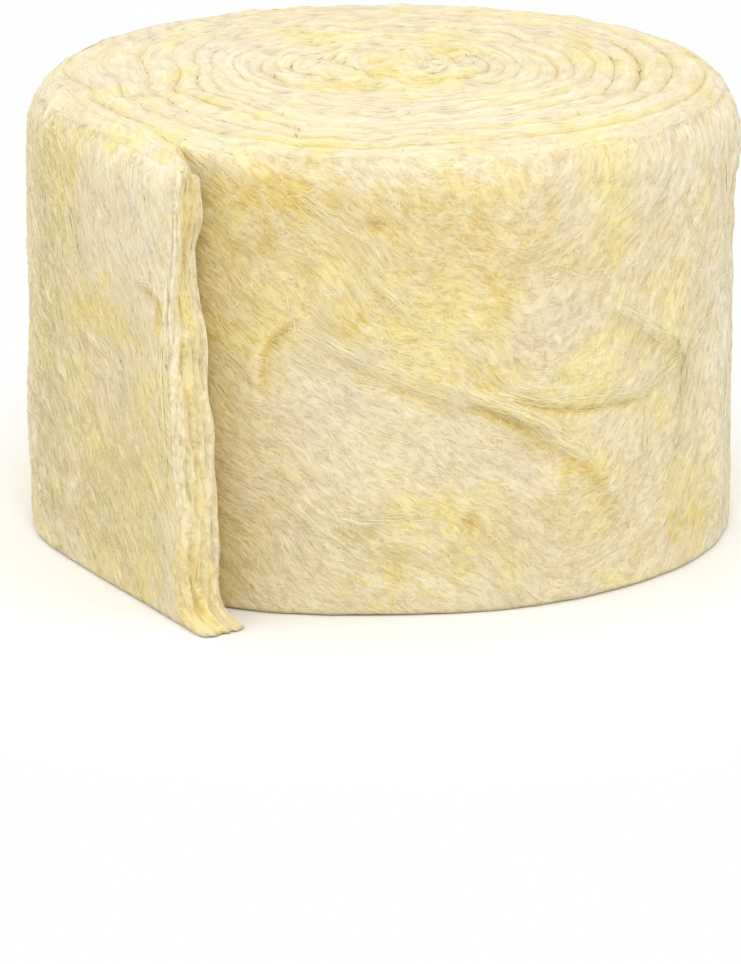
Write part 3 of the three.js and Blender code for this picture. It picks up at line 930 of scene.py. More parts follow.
def rim_cells(numbers, grain, row, flip):
    """Faces of an end sheet that meet the side's finer steps, each as one polygon: outside round
    the roll and tail, inside along the tail, and across the cut end."""
    columns = numbers.shape[1] - 1
    rim = side_number[:, row]
    covered = ROOT_STATION - STATIONS

    def add(faces, grains):
        faces, grains = np.array(faces), np.array(grains)
        patches.append((faces[:, ::-1], grains[:, ::-1]) if flip else (faces, grains))

    last = STATION_COUNT - 2
    k = np.arange(covered, last)
    start = (k - covered) * FINE
    outer = [rim[start + i] for i in range(FINE + 1)]
    outer_grain = [grain[k, columns] + (grain[k + 1, columns] - grain[k, columns]) * i / FINE
                   for i in range(FINE + 1)]
    faces = np.stack([numbers[k, columns - 1], *outer, numbers[k + 1, columns - 1]], -1)
    grains = np.stack([grain[k, columns - 1], *outer_grain, grain[k + 1, columns - 1]], -2)
    add(faces, grains)

    k = np.arange(ROOT_STATION, last)
    start = -(k - ROOT_STATION) * FINE
    inner = [rim[(start - i) % COLUMNS] for i in range(FINE + 1)]
    inner_grain = [grain[k, 0] + (grain[k + 1, 0] - grain[k, 0]) * i / FINE
                   for i in range(FINE + 1)]
    faces = np.stack([numbers[k + 1, 1], *inner[::-1], numbers[k, 1]], -1)
    grains = np.stack([grain[k + 1, 1], *inner_grain[::-1], grain[k, 1]], -2)
    add(faces, grains)

    fine = END_STEPS // columns
    for j in range(columns):
        near, far = grain[last, j], grain[last, j + 1]
        face, values = [numbers[last, j]], [near]
        if j == 0:
            place = -(last - ROOT_STATION) * FINE
            face += [rim[(place - i) % COLUMNS] for i in range(1, FINE)]
            values += [near] * (FINE - 1)
        at = OUTER_TIP + (columns - j) * fine
        face += [rim[at - i] for i in range(fine + 1)]
        values += [near + (far - near) * i / fine + [2, 0, 0] for i in range(fine + 1)]
        if j == columns - 1:
            place = (last - covered) * FINE
            face += [rim[place + i] for i in range(FINE - 1, 0, -1)]
            values += [far] * (FINE - 1)
        face.append(numbers[last, j + 1])
        values.append(far)
        add([face[::-1]], [values[::-1]])


print("steps of the rim in one column of the cut end:", END_STEPS // TOP_COLUMNS)

# %% Faces of the ends


def sheet_faces(numbers, places, row, flip):
    """All faces of an end sheet: plain four-sided cells inside, and rim cells outside."""
    grain = sheet_grain(places)
    columns = numbers.shape[1] - 1
    covered = ROOT_STATION - STATIONS
    for first, last, left, right in [
        (0, covered, 0, columns),
        (covered, ROOT_STATION, 0, columns - 1),
        (ROOT_STATION, STATION_COUNT - 2, 1, columns - 1),
    ]:
        part = numbers[first : last + 1, left : right + 1]
        if part.shape[1] < 2:
            continue
        quads(part, grain[first : last + 1, left : right + 1])
        if not flip:
            faces, grains = patches.pop()
            patches.append((faces[:, ::-1], grains[:, ::-1]))
    rim_cells(numbers, grain, row, flip)


sheet_faces(top_number, top_places, ROWS, False)
sheet_faces(base_number, base_places, 0, True)
print("faces so far:", sum(len(f) for f, g in patches))

# %% [markdown]
# ## The core
# Inside the first turn the blanket's start is crumpled shut. A few rings of points that shrink to
# one point close it, at the top and at the base.

# %% Core
CORE_RINGS = 5


def core(numbers, places, is_top):
    """Rings from the first line to the middle: each ring is the line drawn in towards its centre,
    raised to a low crumpled dome."""
    global point_count
    first = places[:STATIONS, 0]
    centre = first[:, :2].mean(0)
    share = np.arange(1, CORE_RINGS)[:, None, None] / CORE_RINGS
    ring = first[None, :, :2] + share * (centre - first[:, :2])
    dome = 1.1 * np.sin(share[..., 0] * math.pi / 2)
    lift = first[None, :, 2] + (dome if is_top else -dome)
    if is_top:
        lift = lift + 0.7 * waves(ring, 6, 84, 20) * share[..., 0]
    else:
        lift = np.maximum(lift, 0.3)
    rings = np.concatenate([ring, lift[..., None]], -1)
    middle = np.array([[*centre, float(rings[-1, :, 2].mean())]])
    index = point_count + np.arange(rings[..., 0].size).reshape(rings.shape[:2])
    points.extend([rings.reshape(-1, 3), middle])
    hub = index.max() + 1
    point_count = hub + 1
    grid = np.concatenate([numbers[None, :STATIONS, 0], index])
    grid = np.concatenate([grid, grid[:, :1]], 1)
    radius = (CORE_RINGS - np.arange(CORE_RINGS)) / CORE_RINGS * CORE_RADIUS
    turn = np.arange(STATIONS + 1) / STATIONS
    grain = np.stack(np.broadcast_arrays(turn * 40, radius[:, None], 500.0), -1)
    quads(grid, grain)
    fan = np.stack([grid[-1, :-1], grid[-1, 1:], np.full(STATIONS, hub)], -1)
    fan_grain = np.stack([grain[-1, :-1], grain[-1, 1:], grain[-1, 1:]], -2)
    patches.append((fan, fan_grain))
    if is_top:
        for i in (-2, -1):
            patches[i] = (patches[i][0][:, ::-1], patches[i][1][:, ::-1])
    return centre


centre = core(top_number, top_places, True)
core(base_number, base_places, False)
print("core centre", centre.round(1), "points", point_count)

# %% [markdown]
# ## Stains and painted shade
# The wool is cream, but not evenly so. The binder that holds the fibres is yellow where it
# gathered, pinkish where it is thin, and a dull olive in places, and some lumps are almost white.
# Random noise alone would put those tones anywhere, so soft patches name the main ones and noise
# frays their edges. Some olive patches also paint shade, in creases and towards the far left of
# the roll and of the tail's face, and some pale ones paint light on the right of the tail's face.
# Shade is kept apart: in the grooves, folds and cracks and in the wedge behind the tail it is
# painted into the colour as a golden darkening. The cut end has no patches. It is pale along its
# outer lip, which also paints a highlight on the cut face, yellow in the middle and pinkish along
# its inner lip.

# %% Patches of colour
YELLOW, PINK, OLIVE_AND_PAINTED_SHADE, PALE_AND_PAINTED_LIGHT = range(4)
# (tone, millimetres round, millimetres up, half width, half height, strength)
# Olive patches in creases, under folds and towards the far left of the roll and of the tail's face
# paint shade; pale patches on the right of the tail's face paint light.
SIDE_PATCHES = [
    (PINK, 34.8, 39.5, 16, 12, 0.8), (PINK, 156.8, 71.5, 14, 8, 0.5),
    (PINK, 117.8, 53.2, 12, 8, 0.5), (PINK, 124.6, 89.7, 16, 8, 0.5),
    (PINK, 50.7, 64.5, 14, 7, 0.6), (PINK, 49, 91, 7, 5, 0.7), (PINK, 66, 86, 12, 6, 0.3),
    (PINK, 100, 20, 16, 6, 0.4), (PINK, 60, 22, 44, 12, 0.45), (OLIVE_AND_PAINTED_SHADE, 80, 18, 60, 12, 0.25),
    (PINK, 200, 95, 12, 16, 0.4), (PINK, 695, 62, 20, 8, 0.6), (PINK, 715, 50, 14, 8, 0.5),
    (PINK, 690, 27, 16, 8, 0.5), (PINK, 705, 116, 22, 14, 0.3), (YELLOW, 57.1, 98.4, 8, 5, 0.6),
    (YELLOW, 30.7, 137.4, 9, 5, 0.7), (YELLOW, 104, 106, 6, 8, 0.8),
    (YELLOW, 124.9, 53.9, 5, 5, 0.8), (YELLOW, 130.4, 46.6, 6, 5, 0.8),
    (YELLOW, 185, 15, 16, 6, 0.8), (YELLOW, 112, 68, 12, 4, 0.9), (YELLOW, 88, 78, 20, 5, 0.8),
    (YELLOW, 60, 92, 16, 5, 0.8), (YELLOW, 122, 60, 10, 5, 0.7), (YELLOW, 138, 43, 8, 7, 0.7),
    (YELLOW, 215, 40, 16, 14, 0.5), (YELLOW, 681.5, 88, 12, 7, 0.9),
    (YELLOW, 695.5, 86.5, 10, 6, 0.9), (YELLOW, 706, 90.6, 6, 5, 0.9),
    (YELLOW, 704, 87, 16, 6, 1.0), (YELLOW, 722, 88, 12, 6, 0.8), (YELLOW, 668, 83, 14, 6, 0.8),
    (YELLOW, 646, 80, 8, 14, 0.7), (YELLOW, 718, 97, 5, 5, 0.9), (YELLOW, 668, 136, 16, 8, 0.6),
    (YELLOW, 742, 70, 4, 40, 0.5), (YELLOW, 748, 54, 7, 16, 0.6), (YELLOW, 715, 12, 30, 8, 0.5),
    (YELLOW, 755, 60, 3, 60, 0.6), (YELLOW, 175, 100, 26, 8, 0.4), (YELLOW, 90, 125, 26, 8, 0.35),
    (OLIVE_AND_PAINTED_SHADE, 652, 106, 7, 22, 0.9), (OLIVE_AND_PAINTED_SHADE, 650, 60, 11, 70, 0.9), (PINK, 222, 60, 14, 70, 1.0),
    (PALE_AND_PAINTED_LIGHT, 214, 70, 18, 80, 0.9), (YELLOW, 200, 30, 24, 20, 0.5), (YELLOW, 660, 128, 20, 18, 0.5),
    (YELLOW, 745, 110, 5, 30, 0.8), (OLIVE_AND_PAINTED_SHADE, 148, 92, 5, 4, 0.6), (OLIVE_AND_PAINTED_SHADE, 161, 84, 6, 4, 0.7),
    (OLIVE_AND_PAINTED_SHADE, 174, 76, 5, 5, 0.8), (OLIVE_AND_PAINTED_SHADE, 180.5, 66, 3, 9, 0.8), (OLIVE_AND_PAINTED_SHADE, 178, 54, 3, 6, 0.6),
    (OLIVE_AND_PAINTED_SHADE, 40, 133, 6, 7, 0.6), (OLIVE_AND_PAINTED_SHADE, 95, 29, 4, 4, 0.9), (OLIVE_AND_PAINTED_SHADE, 144.5, 27, 3, 6, 0.7),
    (OLIVE_AND_PAINTED_SHADE, 229, 113, 4, 10, 0.8), (OLIVE_AND_PAINTED_SHADE, 690, 20, 20, 10, 0.35), (OLIVE_AND_PAINTED_SHADE, 655, 28, 12, 18, 0.6),
    (OLIVE_AND_PAINTED_SHADE, 652, 75, 20, 90, 0.55), (OLIVE_AND_PAINTED_SHADE, 690, 40, 26, 30, 0.3), (OLIVE_AND_PAINTED_SHADE, 710, 30, 44, 26, 0.35),
    (PALE_AND_PAINTED_LIGHT, 728, 122, 30, 34, 0.8), (PALE_AND_PAINTED_LIGHT, 756, 102, 9, 9, 1.0), (PINK, 205, 100, 14, 40, 0.5),
    (OLIVE_AND_PAINTED_SHADE, 52, 30, 22, 14, 0.45), (OLIVE_AND_PAINTED_SHADE, 33, 106, 12, 10, 0.3), (PALE_AND_PAINTED_LIGHT, 85, 12, 30, 8, 0.3),
    (PALE_AND_PAINTED_LIGHT, 175, 131, 18, 8, 0.7), (PALE_AND_PAINTED_LIGHT, 79, 10, 8, 3, 0.7), (PALE_AND_PAINTED_LIGHT, 79, 26, 10, 5, 0.5),
    (PALE_AND_PAINTED_LIGHT, 234, 118, 6, 22, 0.6), (PALE_AND_PAINTED_LIGHT, 720, 139, 24, 7, 0.5), (PALE_AND_PAINTED_LIGHT, 737, 130, 4, 16, 0.6),
    (PALE_AND_PAINTED_LIGHT, 64.6, 9.7, 4, 4, 0.9), (YELLOW, 300, 100, 30, 10, 0.5), (PINK, 340, 60, 26, 16, 0.6),
    (OLIVE_AND_PAINTED_SHADE, 395, 110, 14, 18, 0.6), (YELLOW, 420, 50, 26, 9, 0.6), (PALE_AND_PAINTED_LIGHT, 455, 95, 20, 10, 0.5),
    (PINK, 500, 70, 22, 20, 0.5), (YELLOW, 540, 115, 24, 8, 0.6), (OLIVE_AND_PAINTED_SHADE, 575, 40, 12, 16, 0.5),
    (PINK, 610, 90, 18, 14, 0.5),
]
# (tone, x, y, half width, half height, strength), all in millimetres, seen from above
TOP_PATCHES = [
    (YELLOW, 12, 26, 18, 5, 0.9), (YELLOW, -1, -12, 7, 9, 0.9), (YELLOW, -10, -28, 10, 4, 0.9),
    (YELLOW, 3, -21, 8, 4, 0.8), (YELLOW, 20, 24, 8, 5, 0.8), (YELLOW, 45, -104, 22, 4, 0.7),
    (YELLOW, 100, -29, 5, 10, 0.8), (YELLOW, 63, 30, 4, 24, 0.6), (YELLOW, 86, -2, 4, 18, 0.6),
    (YELLOW, -70, -45, 14, 10, 0.5), (PINK, -58, 40, 20, 22, 0.35), (PINK, 30, 60, 26, 18, 0.3),
    (PALE_AND_PAINTED_LIGHT, -60, 10, 22, 20, 0.5), (PALE_AND_PAINTED_LIGHT, 50, -60, 30, 18, 0.5), (PALE_AND_PAINTED_LIGHT, 10, -75, 40, 12, 0.4),
    (PINK, -90, -10, 12, 24, 0.35), (YELLOW, 0, 0, 30, 26, 0.2), (YELLOW, 40, 84, 30, 8, 0.4),
    (OLIVE_AND_PAINTED_SHADE, -96, -40, 8, 14, 0.3),
]


def stains(places, patches, shape):
    """Four tones at places (two millimetre coordinates): each is the sum of soft ellipses whose
    size is frayed by noise, from 0 to 1."""
    fray = 0.45 * waves(places, 16, 91, 24) + 0.35 * waves(places, 5, 92, 24)
    tones = np.zeros((*shape, 4))
    for tone, a, b, wide, tall, strength in patches:
        away = np.hypot((places[..., 0] - a) / wide, (places[..., 1] - b) / tall)
        tones[..., tone] += strength * smooth_step((1.5 - away + fray * 0.6) / 1.1)
    return np.clip(tones, 0, 1)


# (millimetres round, millimetres up, half width, half height, strength) of golden darkening:
# painted shade where the wool lies back, as under the rim and in the pocket on the tail, and wool
# that is golden because it is thin
GOLDEN_AND_SHADE = [
    (60, 124, 46, 12, 0.45), (33, 136, 10, 7, 0.6), (36, 108, 18, 22, 0.3), (96, 112, 34, 12, 0.25),
    (30, 70, 10, 46, 0.3), (70, 135, 60, 5, 0.45), (75, 112, 60, 26, 0.2), (110, 60, 10, 10, 0.3),
    (34, 140, 22, 6, 0.5), (700, 80, 46, 60, 0.2), (742, 99, 6, 6, 1.4), (20, 20, 14, 22, 0.3),
    (140, 116, 36, 10, 0.25), (60, 100, 16, 8, 0.25), (208, 108, 24, 20, 0.2),
    (106, 30, 24, 10, 0.25), (60, 8, 26, 6, 0.2), (135, 34, 10, 16, 0.25), (180, 24, 20, 12, 0.2),
    (100, 20, 44, 14, 0.2), (700, 38, 40, 34, 0.3), (664, 112, 10, 26, 0.2), (690, 92, 24, 8, 0.25),
    (664, 20, 20, 16, 0.2),
]

side_places = np.stack([s_grid, height], -1)
side_stain = stains(side_places, SIDE_PATCHES, s_grid.shape)
cut = on_end[:, None]
# the cut end's outer lip is made pale; this also paints a highlight that lifts the cut face
lip = hill(mm_across - 1.0, 2.2) * smooth_step((height - 30) / 40)
side_stain[..., PALE_AND_PAINTED_LIGHT] = np.where(cut, np.clip(lip, 0, 1), side_stain[..., PALE_AND_PAINTED_LIGHT])
side_stain[..., YELLOW] = np.where(cut, 0.5 * hill(mm_across - 6.0, 3.6), side_stain[..., YELLOW])
inner_lip = 0.6 * hill(mm_across - 12.0, 2.4)
side_stain[..., PINK] = np.where(cut, inner_lip, side_stain[..., PINK])
print("mean side tones", side_stain.mean((0, 1)).round(3))

# %% Painted shade in the hollows


def blurred(grid, times):
    """A grid smoothed by averaging each point with its neighbours, wrapped round the loop."""
    for _ in range(times):
        grid = (grid + np.roll(grid, 1, 0) + np.roll(grid, -1, 0)) / 3
        grid[:, 1:-1] = (grid[:, 1:-1] + grid[:, 2:] + grid[:, :-2]) / 3
    return grid


sunk_fold = blurred(relief, 8) - relief
sunk_felt = blurred(felt - 0.55 * pits, 8) - (felt - 0.55 * pits)
under = np.gradient(relief, axis=1) / np.gradient(height, axis=1)  # slopes that face down
# painted shade: hollows of the folds and the felt, slopes that face down and the cut end's cracks
# are darkened towards golden
shade_in_fold = 0.8 * np.clip(sunk_fold / 0.8, 0, 1)
shade_under_fold = np.clip(0.9 * under - 0.1, 0, 0.7)
shade_in_felt = np.clip(sunk_felt / 1.8, 0, 0.5)
shade_in_crack = np.where(on_end[:, None], np.clip(0.45 * cracks + 0.1 * sunk_top, 0, 1), 0)
side_painted_shade = shade_in_fold + shade_under_fold + shade_in_felt + shade_in_crack
# painted shade in the wedge between the tail and the roll
wedge = hill(along_loop / 17, 1)[:, None] * np.where(on_wall, 1, 0)[:, None]
side_painted_shade = np.clip(side_painted_shade + 0.95 * wedge * smooth_step((142 - height) / 30), 0, 1)
# the foot of the cut end is darkened towards golden as well
foot = smooth_step((14 - height) / 8) * on_end[:, None]
side_painted_shade = np.clip(side_painted_shade + 0.4 * foot, 0, 1)
fray = 0.4 * waves(side_places, 14, 93, 24) + 0.3 * waves(side_places, 5, 94, 24)
for s0, z0, wide, tall, strength in GOLDEN_AND_SHADE:
    away = np.hypot((s_grid - s0) / wide, (height - z0) / tall)
    side_painted_shade = side_painted_shade + 0.65 * strength * smooth_step((1.6 - away + fray * 0.35) / 1.4)
# the tail's inner face, in the wedge, is painted in shade all over
side_painted_shade = np.clip(np.where(inside[:, None], 0.7, side_painted_shade), 0, 1)
print("hollow share of the side", round(float((side_painted_shade > 0.3).mean()), 3))


def sheet_stains_and_shade(numbers, places, columns, first, is_top):
    """Stains and painted shade of the points an end sheet owns: the points on a line and beside it
    get painted groove shade by the depth of their groove, and those in the middle of a turn hardly
    do."""
    plan = places[..., :2]
    tones = stains(plan, TOP_PATCHES if is_top else [], plan.shape[:2])
    turn = turn_at(np.minimum(np.arange(STATION_COUNT), ROOT_STATION))
    from_line = np.minimum(np.arange(columns + 1), columns - np.arange(columns + 1))
    depth_in = groove_depth(turn)[:, None] / 1.4
    depth_out = groove_depth(turn + 1)[:, None] / 1.4
    nearer_in = np.arange(columns + 1)[None, :] <= columns / 2
    depth = np.where(nearer_in, depth_in, depth_out)
    soft = np.array([0.85, 0.75, 0.25, 0])[from_line]  # on the line, one column off, and so on
    groove = np.clip(depth, 0, 1) * soft
    lonely = (np.arange(STATION_COUNT) > ROOT_STATION - STATIONS)[:, None] & ~nearer_in
    groove = np.where(lonely, 0, groove)
    return own_points(numbers, np.concatenate([tones, 0.7 * groove[..., None]], -1), first)


stains_and_shade = [
    np.concatenate([side_stain, side_painted_shade[..., None]], -1).reshape(-1, 5),
    sheet_stains_and_shade(np.minimum(top_number, first_base), top_places, TOP_COLUMNS, first_top, True),
    sheet_stains_and_shade(base_number, base_places, BASE_COLUMNS, first_base, False),
]
core_stains_and_shade = np.zeros((point_count - sum(len(m) for m in stains_and_shade), 5))
# the crumpled core gets some yellow and a little painted shade
core_stains_and_shade[:, YELLOW], core_stains_and_shade[:, 4] = 0.4, 0.25
# the fifth value of every point is its painted shade
stains_and_shade = np.concatenate([*stains_and_shade, core_stains_and_shade])  # four tones and the hollow of every point
print("marked points", len(stains_and_shade), "of", point_count)

# %% [markdown]
# ## One closed mesh
# All the patches share their points, so one mesh of them is watertight. Near the core the first
# turn starts with no thickness, where a few points coincide. Merging the doubles closes that
# feather edge, and then the normals are made to point outwards.

# %% Make the mesh


def new_mesh(name, places, corners, counts):
    """A smooth mesh: places of its points in millimetres, the point number at every corner of
    all faces in a row, and how many corners each face has."""
    made = bpy.data.meshes.new(name)
    made.vertices.add(len(places))
    made.loops.add(len(corners))
    made.polygons.add(len(counts))
    made.vertices.foreach_set("co", (places * MM).astype(np.float32).ravel())
    made.loops.foreach_set("vertex_index", corners.astype(np.int32))
    starts = np.concatenate([[0], np.cumsum(counts)[:-1]])
    made.polygons.foreach_set("loop_start", starts.astype(np.int32))
    made.polygons.foreach_set("loop_total", counts.astype(np.int32))
    made.polygons.foreach_set("use_smooth", np.ones(len(counts), bool))
    made.update(calc_edges=True)
    return made


def add_layer(mesh, name, kind, where, values):
    """A named attribute of a mesh, for its points or its corners, with all its values."""
    field = {"FLOAT": "value", "FLOAT_VECTOR": "vector", "FLOAT_COLOR": "color"}[kind]
    layer = mesh.attributes.new(name, kind, where)
    layer.data.foreach_set(field, values.astype(np.float32).ravel())


faces = [f for f, g in patches]
counts = np.concatenate([np.full(len(f), f.shape[1]) for f in faces])
corners = np.concatenate([f.ravel() for f in faces])
mesh = new_mesh("glass_wool_roll", np.concatenate(points), corners, counts)
corner_grain = np.concatenate([g.reshape(-1, 3) for f, g in patches])
add_layer(mesh, "grain", "FLOAT_VECTOR", "CORNER", corner_grain)
add_layer(mesh, "stain", "FLOAT_COLOR", "POINT", stains_and_shade[:, :4])
add_layer(mesh, "hollow", "FLOAT", "POINT", stains_and_shade[:, 4])
mesh.validate()
print("corners", len(corners), "faces", len(counts))

# %% Close it and turn it outwards
roll = bpy.data.objects.new("glass_wool_roll", mesh)
scene.collection.objects.link(roll)
work = bmesh.new()
work.from_mesh(mesh)
bmesh.ops.remove_doubles(work, verts=work.verts, dist=2e-5)
bmesh.ops.dissolve_degenerate(work, edges=work.edges, dist=1e-6)
bmesh.ops.recalc_face_normals(work, faces=work.faces)
if work.calc_volume(signed=True) < 0:
    bmesh.ops.reverse_faces(work, faces=work.faces)
open_edges = sum(1 for e in work.edges if len(e.link_faces) != 2)
volume = work.calc_volume(signed=True)
work.to_mesh(mesh)
work.free()
triangles = sum(len(p.vertices) - 2 for p in mesh.polygons)
print("points", len(mesh.vertices), "triangles", triangles, "open edges", open_edges,
      "litres", round(volume * 1000, 3))

# %% [markdown]
# ## The wool's material
# Glass wool is spun from molten glass, sprayed with a resin binder and cured, which leaves a matt
# felt of fibres far finer than a hair. The fibres scatter light like snow, so there is no gloss,
# only a soft sheen at grazing angles, and some light goes in and comes out again a few millimetres
# further on. A single fibre is 5 to 10 micrometres thick and can't show, so the felt is drawn as
# coarse as it needs to: fluff in blotches of 2 mm, tufts of 3.4 mm, and crimped lines 2 to 3 mm
# apart, all drawn out along the grain. They shade the colour and drive the bump. The slit edges on
# the two ends were cut, so their faces, which look up or down, show less of all this.

# %% Colours of the wool
WOOL_IOR, WOOL_ROUGHNESS = 1.52, 0.95  # glass, scattered by the felt
# yellow, pink, olive and pale, each with its greatest share; olive also paints shade and pale also
# paints light
TONE_CODES = [("#ECD872", 0.85), ("#E6D6C3", 0.95), ("#CFC58E", 0.95), ("#FAF4E2", 0.9)]
print("tones and their greatest shares:", TONE_CODES)

# %% Blotches, crimps and casts


def blotches(tree, where, size_mm, detail, twist, drawn=1.0, shift=(0, 0, 0), rough=0.5):
    """Clouds of noise about size_mm across, for coordinates in millimetres. A mapping draws them
    out along the first coordinate, where drawn is under 1, and moves them, so that no two agree."""
    moved = {"Vector": where, "Scale": (drawn, 1, 1), "Location": shift}
    moved = node(tree, "ShaderNodeMapping", moved)
    return node(
        tree,
        "ShaderNodeTexNoise",
        {"Vector": moved, "Scale": 1 / size_mm, "Detail": detail, "Roughness": rough,
         "Distortion": twist},
    )


def cast(tree, colour, other, value, low, high, most, times=1.0):
    """A colour cast towards another by a share that rises smoothly from 0, where the value is at
    low, to most, where it is at high, times a factor."""
    share = node(
        tree,
        "ShaderNodeMapRange",
        {"Value": value, "From Min": low, "From Max": high, "To Max": most},
        interpolation_type="SMOOTHSTEP",
    )
    share = node(tree, "ShaderNodeMath", {0: share, 1: times}, operation="MULTIPLY")
    return node(tree, "ShaderNodeMix", {0: share, 6: colour, 7: other}, data_type="RGBA")


def crimps(tree, twisted, thin):
    """Thin crimped lines, 1 along their middle: they run where a twisted noise crosses its own
    middle, and end where it is more than thin away from it."""
    away = node(tree, "ShaderNodeMath", {0: twisted, 1: 0.5}, operation="SUBTRACT")
    away = node(tree, "ShaderNodeMath", {0: away}, operation="ABSOLUTE")
    return node(
        tree,
        "ShaderNodeMapRange",
        {"Value": away, "From Min": thin, "From Max": 0.0},
        interpolation_type="SMOOTHSTEP",
    )

# %% The wool's colour


def in_millimetres(tree):
    """The piece's own coordinates, turned from metres to millimetres by a mapping."""
    place = node(tree, "ShaderNodeTexCoord").outputs["Object"]
    return node(tree, "ShaderNodeMapping", {"Vector": place, "Scale": (1 / MM, 1 / MM, 1 / MM)})


def wool_colour(tree, fray):
    """The wool's colour before its felt: cream, cast towards yellow and pink by slow noise, with
    the named patches over it, frayed by a finer noise, and the golden painted shade of the hollows
    last."""
    place = in_millimetres(tree)
    slow = blotches(tree, place, 30, 4, 0.5, rough=0.6)
    quick = blotches(tree, place, 9, 4, 0.5, shift=(70, 30, 10), rough=0.65)
    colour = linear("#EEE2C0")
    colour = cast(tree, colour, linear("#F4E69A"), slow, 0.5, 0.66, 0.8)
    colour = cast(tree, colour, linear("#E8DCC2"), slow, 0.48, 0.32, 0.8)
    colour = cast(tree, colour, linear("#F8F0D3"), quick, 0.52, 0.7, 0.6)
    colour = cast(tree, colour, linear("#DFCFA2"), quick, 0.47, 0.3, 0.7)
    stain = node(tree, "ShaderNodeAttribute", attribute_name="stain")
    tones = node(tree, "ShaderNodeSeparateColor", {"Color": stain.outputs["Color"]})
    channels = [tones.outputs[i] for i in range(3)] + [stain.outputs["Alpha"]]
    for channel, (code, strength) in zip(channels, TONE_CODES):
        colour = cast(tree, colour, linear(code), fray, 0.68, 0.42, strength, times=channel)
    # painted shade: the hollow attribute darkens the colour towards golden in grooves, folds,
    # cracks and the wedge
    hollow = node(tree, "ShaderNodeAttribute", attribute_name="hollow").outputs["Fac"]
    share = node(tree, "ShaderNodeMath", {0: hollow, 1: 0.85}, operation="MULTIPLY")
    golden = {0: share, 6: colour, 7: linear("#DEC05C")}
    return node(tree, "ShaderNodeMix", golden, data_type="RGBA")

# %% Patterns of the felt
wool, tree = new_material("glass_wool_felt")
grain = node(tree, "ShaderNodeAttribute", attribute_name="grain").outputs["Vector"]
fluff = blotches(tree, grain, 2.0, 1, 0.6, drawn=0.55)
tufts = blotches(tree, grain, 3.4, 2, 0.6, drawn=0.55, shift=(11, 5, 0))
coarse = crimps(tree, blotches(tree, grain, 2.8, 1, 1.6, drawn=0.5, shift=(0, 9, 3)), 0.09)
finer = crimps(tree, blotches(tree, grain, 2.2, 1, 1.6, drawn=0.6, shift=(5, 2, 8)), 0.12)
finer = node(tree, "ShaderNodeMath", {0: finer, 1: 0.45}, operation="MULTIPLY")
strand = node(tree, "ShaderNodeMath", {0: coarse, 1: finer}, operation="MAXIMUM")

normal = node(tree, "ShaderNodeNewGeometry").outputs["Normal"]
upward = node(tree, "ShaderNodeSeparateXYZ", {0: normal}).outputs["Z"]
upward = node(tree, "ShaderNodeMath", {0: upward}, operation="ABSOLUTE")
slit_edge = node(
    tree,
    "ShaderNodeMapRange",
    {"Value": upward, "From Min": 0.5, "From Max": 0.9, "To Max": 0.65},
    interpolation_type="SMOOTHSTEP",
)
# 1 on the skin and 0.35 on the slit edges
plain = node(tree, "ShaderNodeMath", {0: 1.0, 1: slit_edge}, operation="SUBTRACT")
print("nodes in the patterns:", len(tree.nodes))

# %% Glass wool
colour = wool_colour(tree, tufts)
darker = {0: 1.0, 6: colour, 7: linear("#E7E3D5")}
shade = node(tree, "ShaderNodeMix", darker, data_type="RGBA", blend_type="MULTIPLY")
light = node(tree, "ShaderNodeMix", {0: 0.5, 6: colour, 7: linear("#FFF6D2")}, data_type="RGBA")
colour = cast(tree, colour, shade, fluff, 0.58, 0.36, 0.9, times=plain)
colour = cast(tree, colour, shade, tufts, 0.5, 0.34, 0.5, times=plain)
share = node(tree, "ShaderNodeMath", {0: strand, 1: 0.6}, operation="MULTIPLY")
colour = node(tree, "ShaderNodeMix", {0: share, 6: colour, 7: light}, data_type="RGBA")

fluff_height = node(tree, "ShaderNodeMath", {0: fluff, 1: 0.6}, operation="MULTIPLY")
strand_height = node(tree, "ShaderNodeMath", {0: strand, 1: 0.1}, operation="MULTIPLY")
felt_height = node(tree, "ShaderNodeMath", {0: fluff_height, 1: tufts}, operation="ADD")
felt_height = node(tree, "ShaderNodeMath", {0: felt_height, 1: strand_height}, operation="ADD")
bump = node(tree, "ShaderNodeBump", {"Height": felt_height, "Strength": plain, "Distance": 0.0007})
surface = node(
    tree,
    "ShaderNodeBsdfPrincipled",
    {"Base Color": colour, "Roughness": WOOL_ROUGHNESS, "IOR": WOOL_IOR, "Normal": bump,
     "Sheen Weight": 0.15, "Sheen Roughness": 0.5, "Subsurface Weight": 0.25,
     "Subsurface Radius": (1.0, 0.72, 0.4), "Subsurface Scale": 0.006},
)
node(tree, "ShaderNodeOutputMaterial", {"Surface": surface})
mesh.materials.clear()
mesh.materials.append(wool)
print("nodes in the wool:", len(tree.nodes))

# %% [markdown]
# ## Loose fibres
# The felt has a nap of loose strands that lie along the streams, tangled by 20 degrees or so, and
# here and there bundles that shine out. Hair curves could draw them, but they don't export as a
# mesh. So each strand is a spindle: a short path on the surface with a point at both ends and rings
# of three corners between. All the strands of one region are joined in one mesh.

# %% Where a place on the surface is


def grid_normals(grid, closed):
    """Unit normals of a grid of points: the cross product of its two differences."""
    if closed:
        first = np.roll(grid, -1, 0) - np.roll(grid, 1, 0)
    else:
        first = np.gradient(grid, axis=0)
    normal = np.cross(first, np.gradient(grid, axis=1))
    return normal / np.maximum(np.linalg.norm(normal, axis=-1, keepdims=True), 1e-9)


def on_grid(grid, u, v):
    """A grid's value between its points: bilinear in the two fractional numbers."""
    i, j = np.floor(u).astype(int), np.floor(v).astype(int)
    i, j = np.minimum(i, len(grid) - 2), np.minimum(j, grid.shape[1] - 2)
    a, b = (u - i)[..., None], (v - j)[..., None]
    low = grid[i, j] * (1 - a) + grid[i + 1, j] * a
    high = grid[i, j + 1] * (1 - a) + grid[i + 1, j + 1] * a
    return low * (1 - b) + high * b


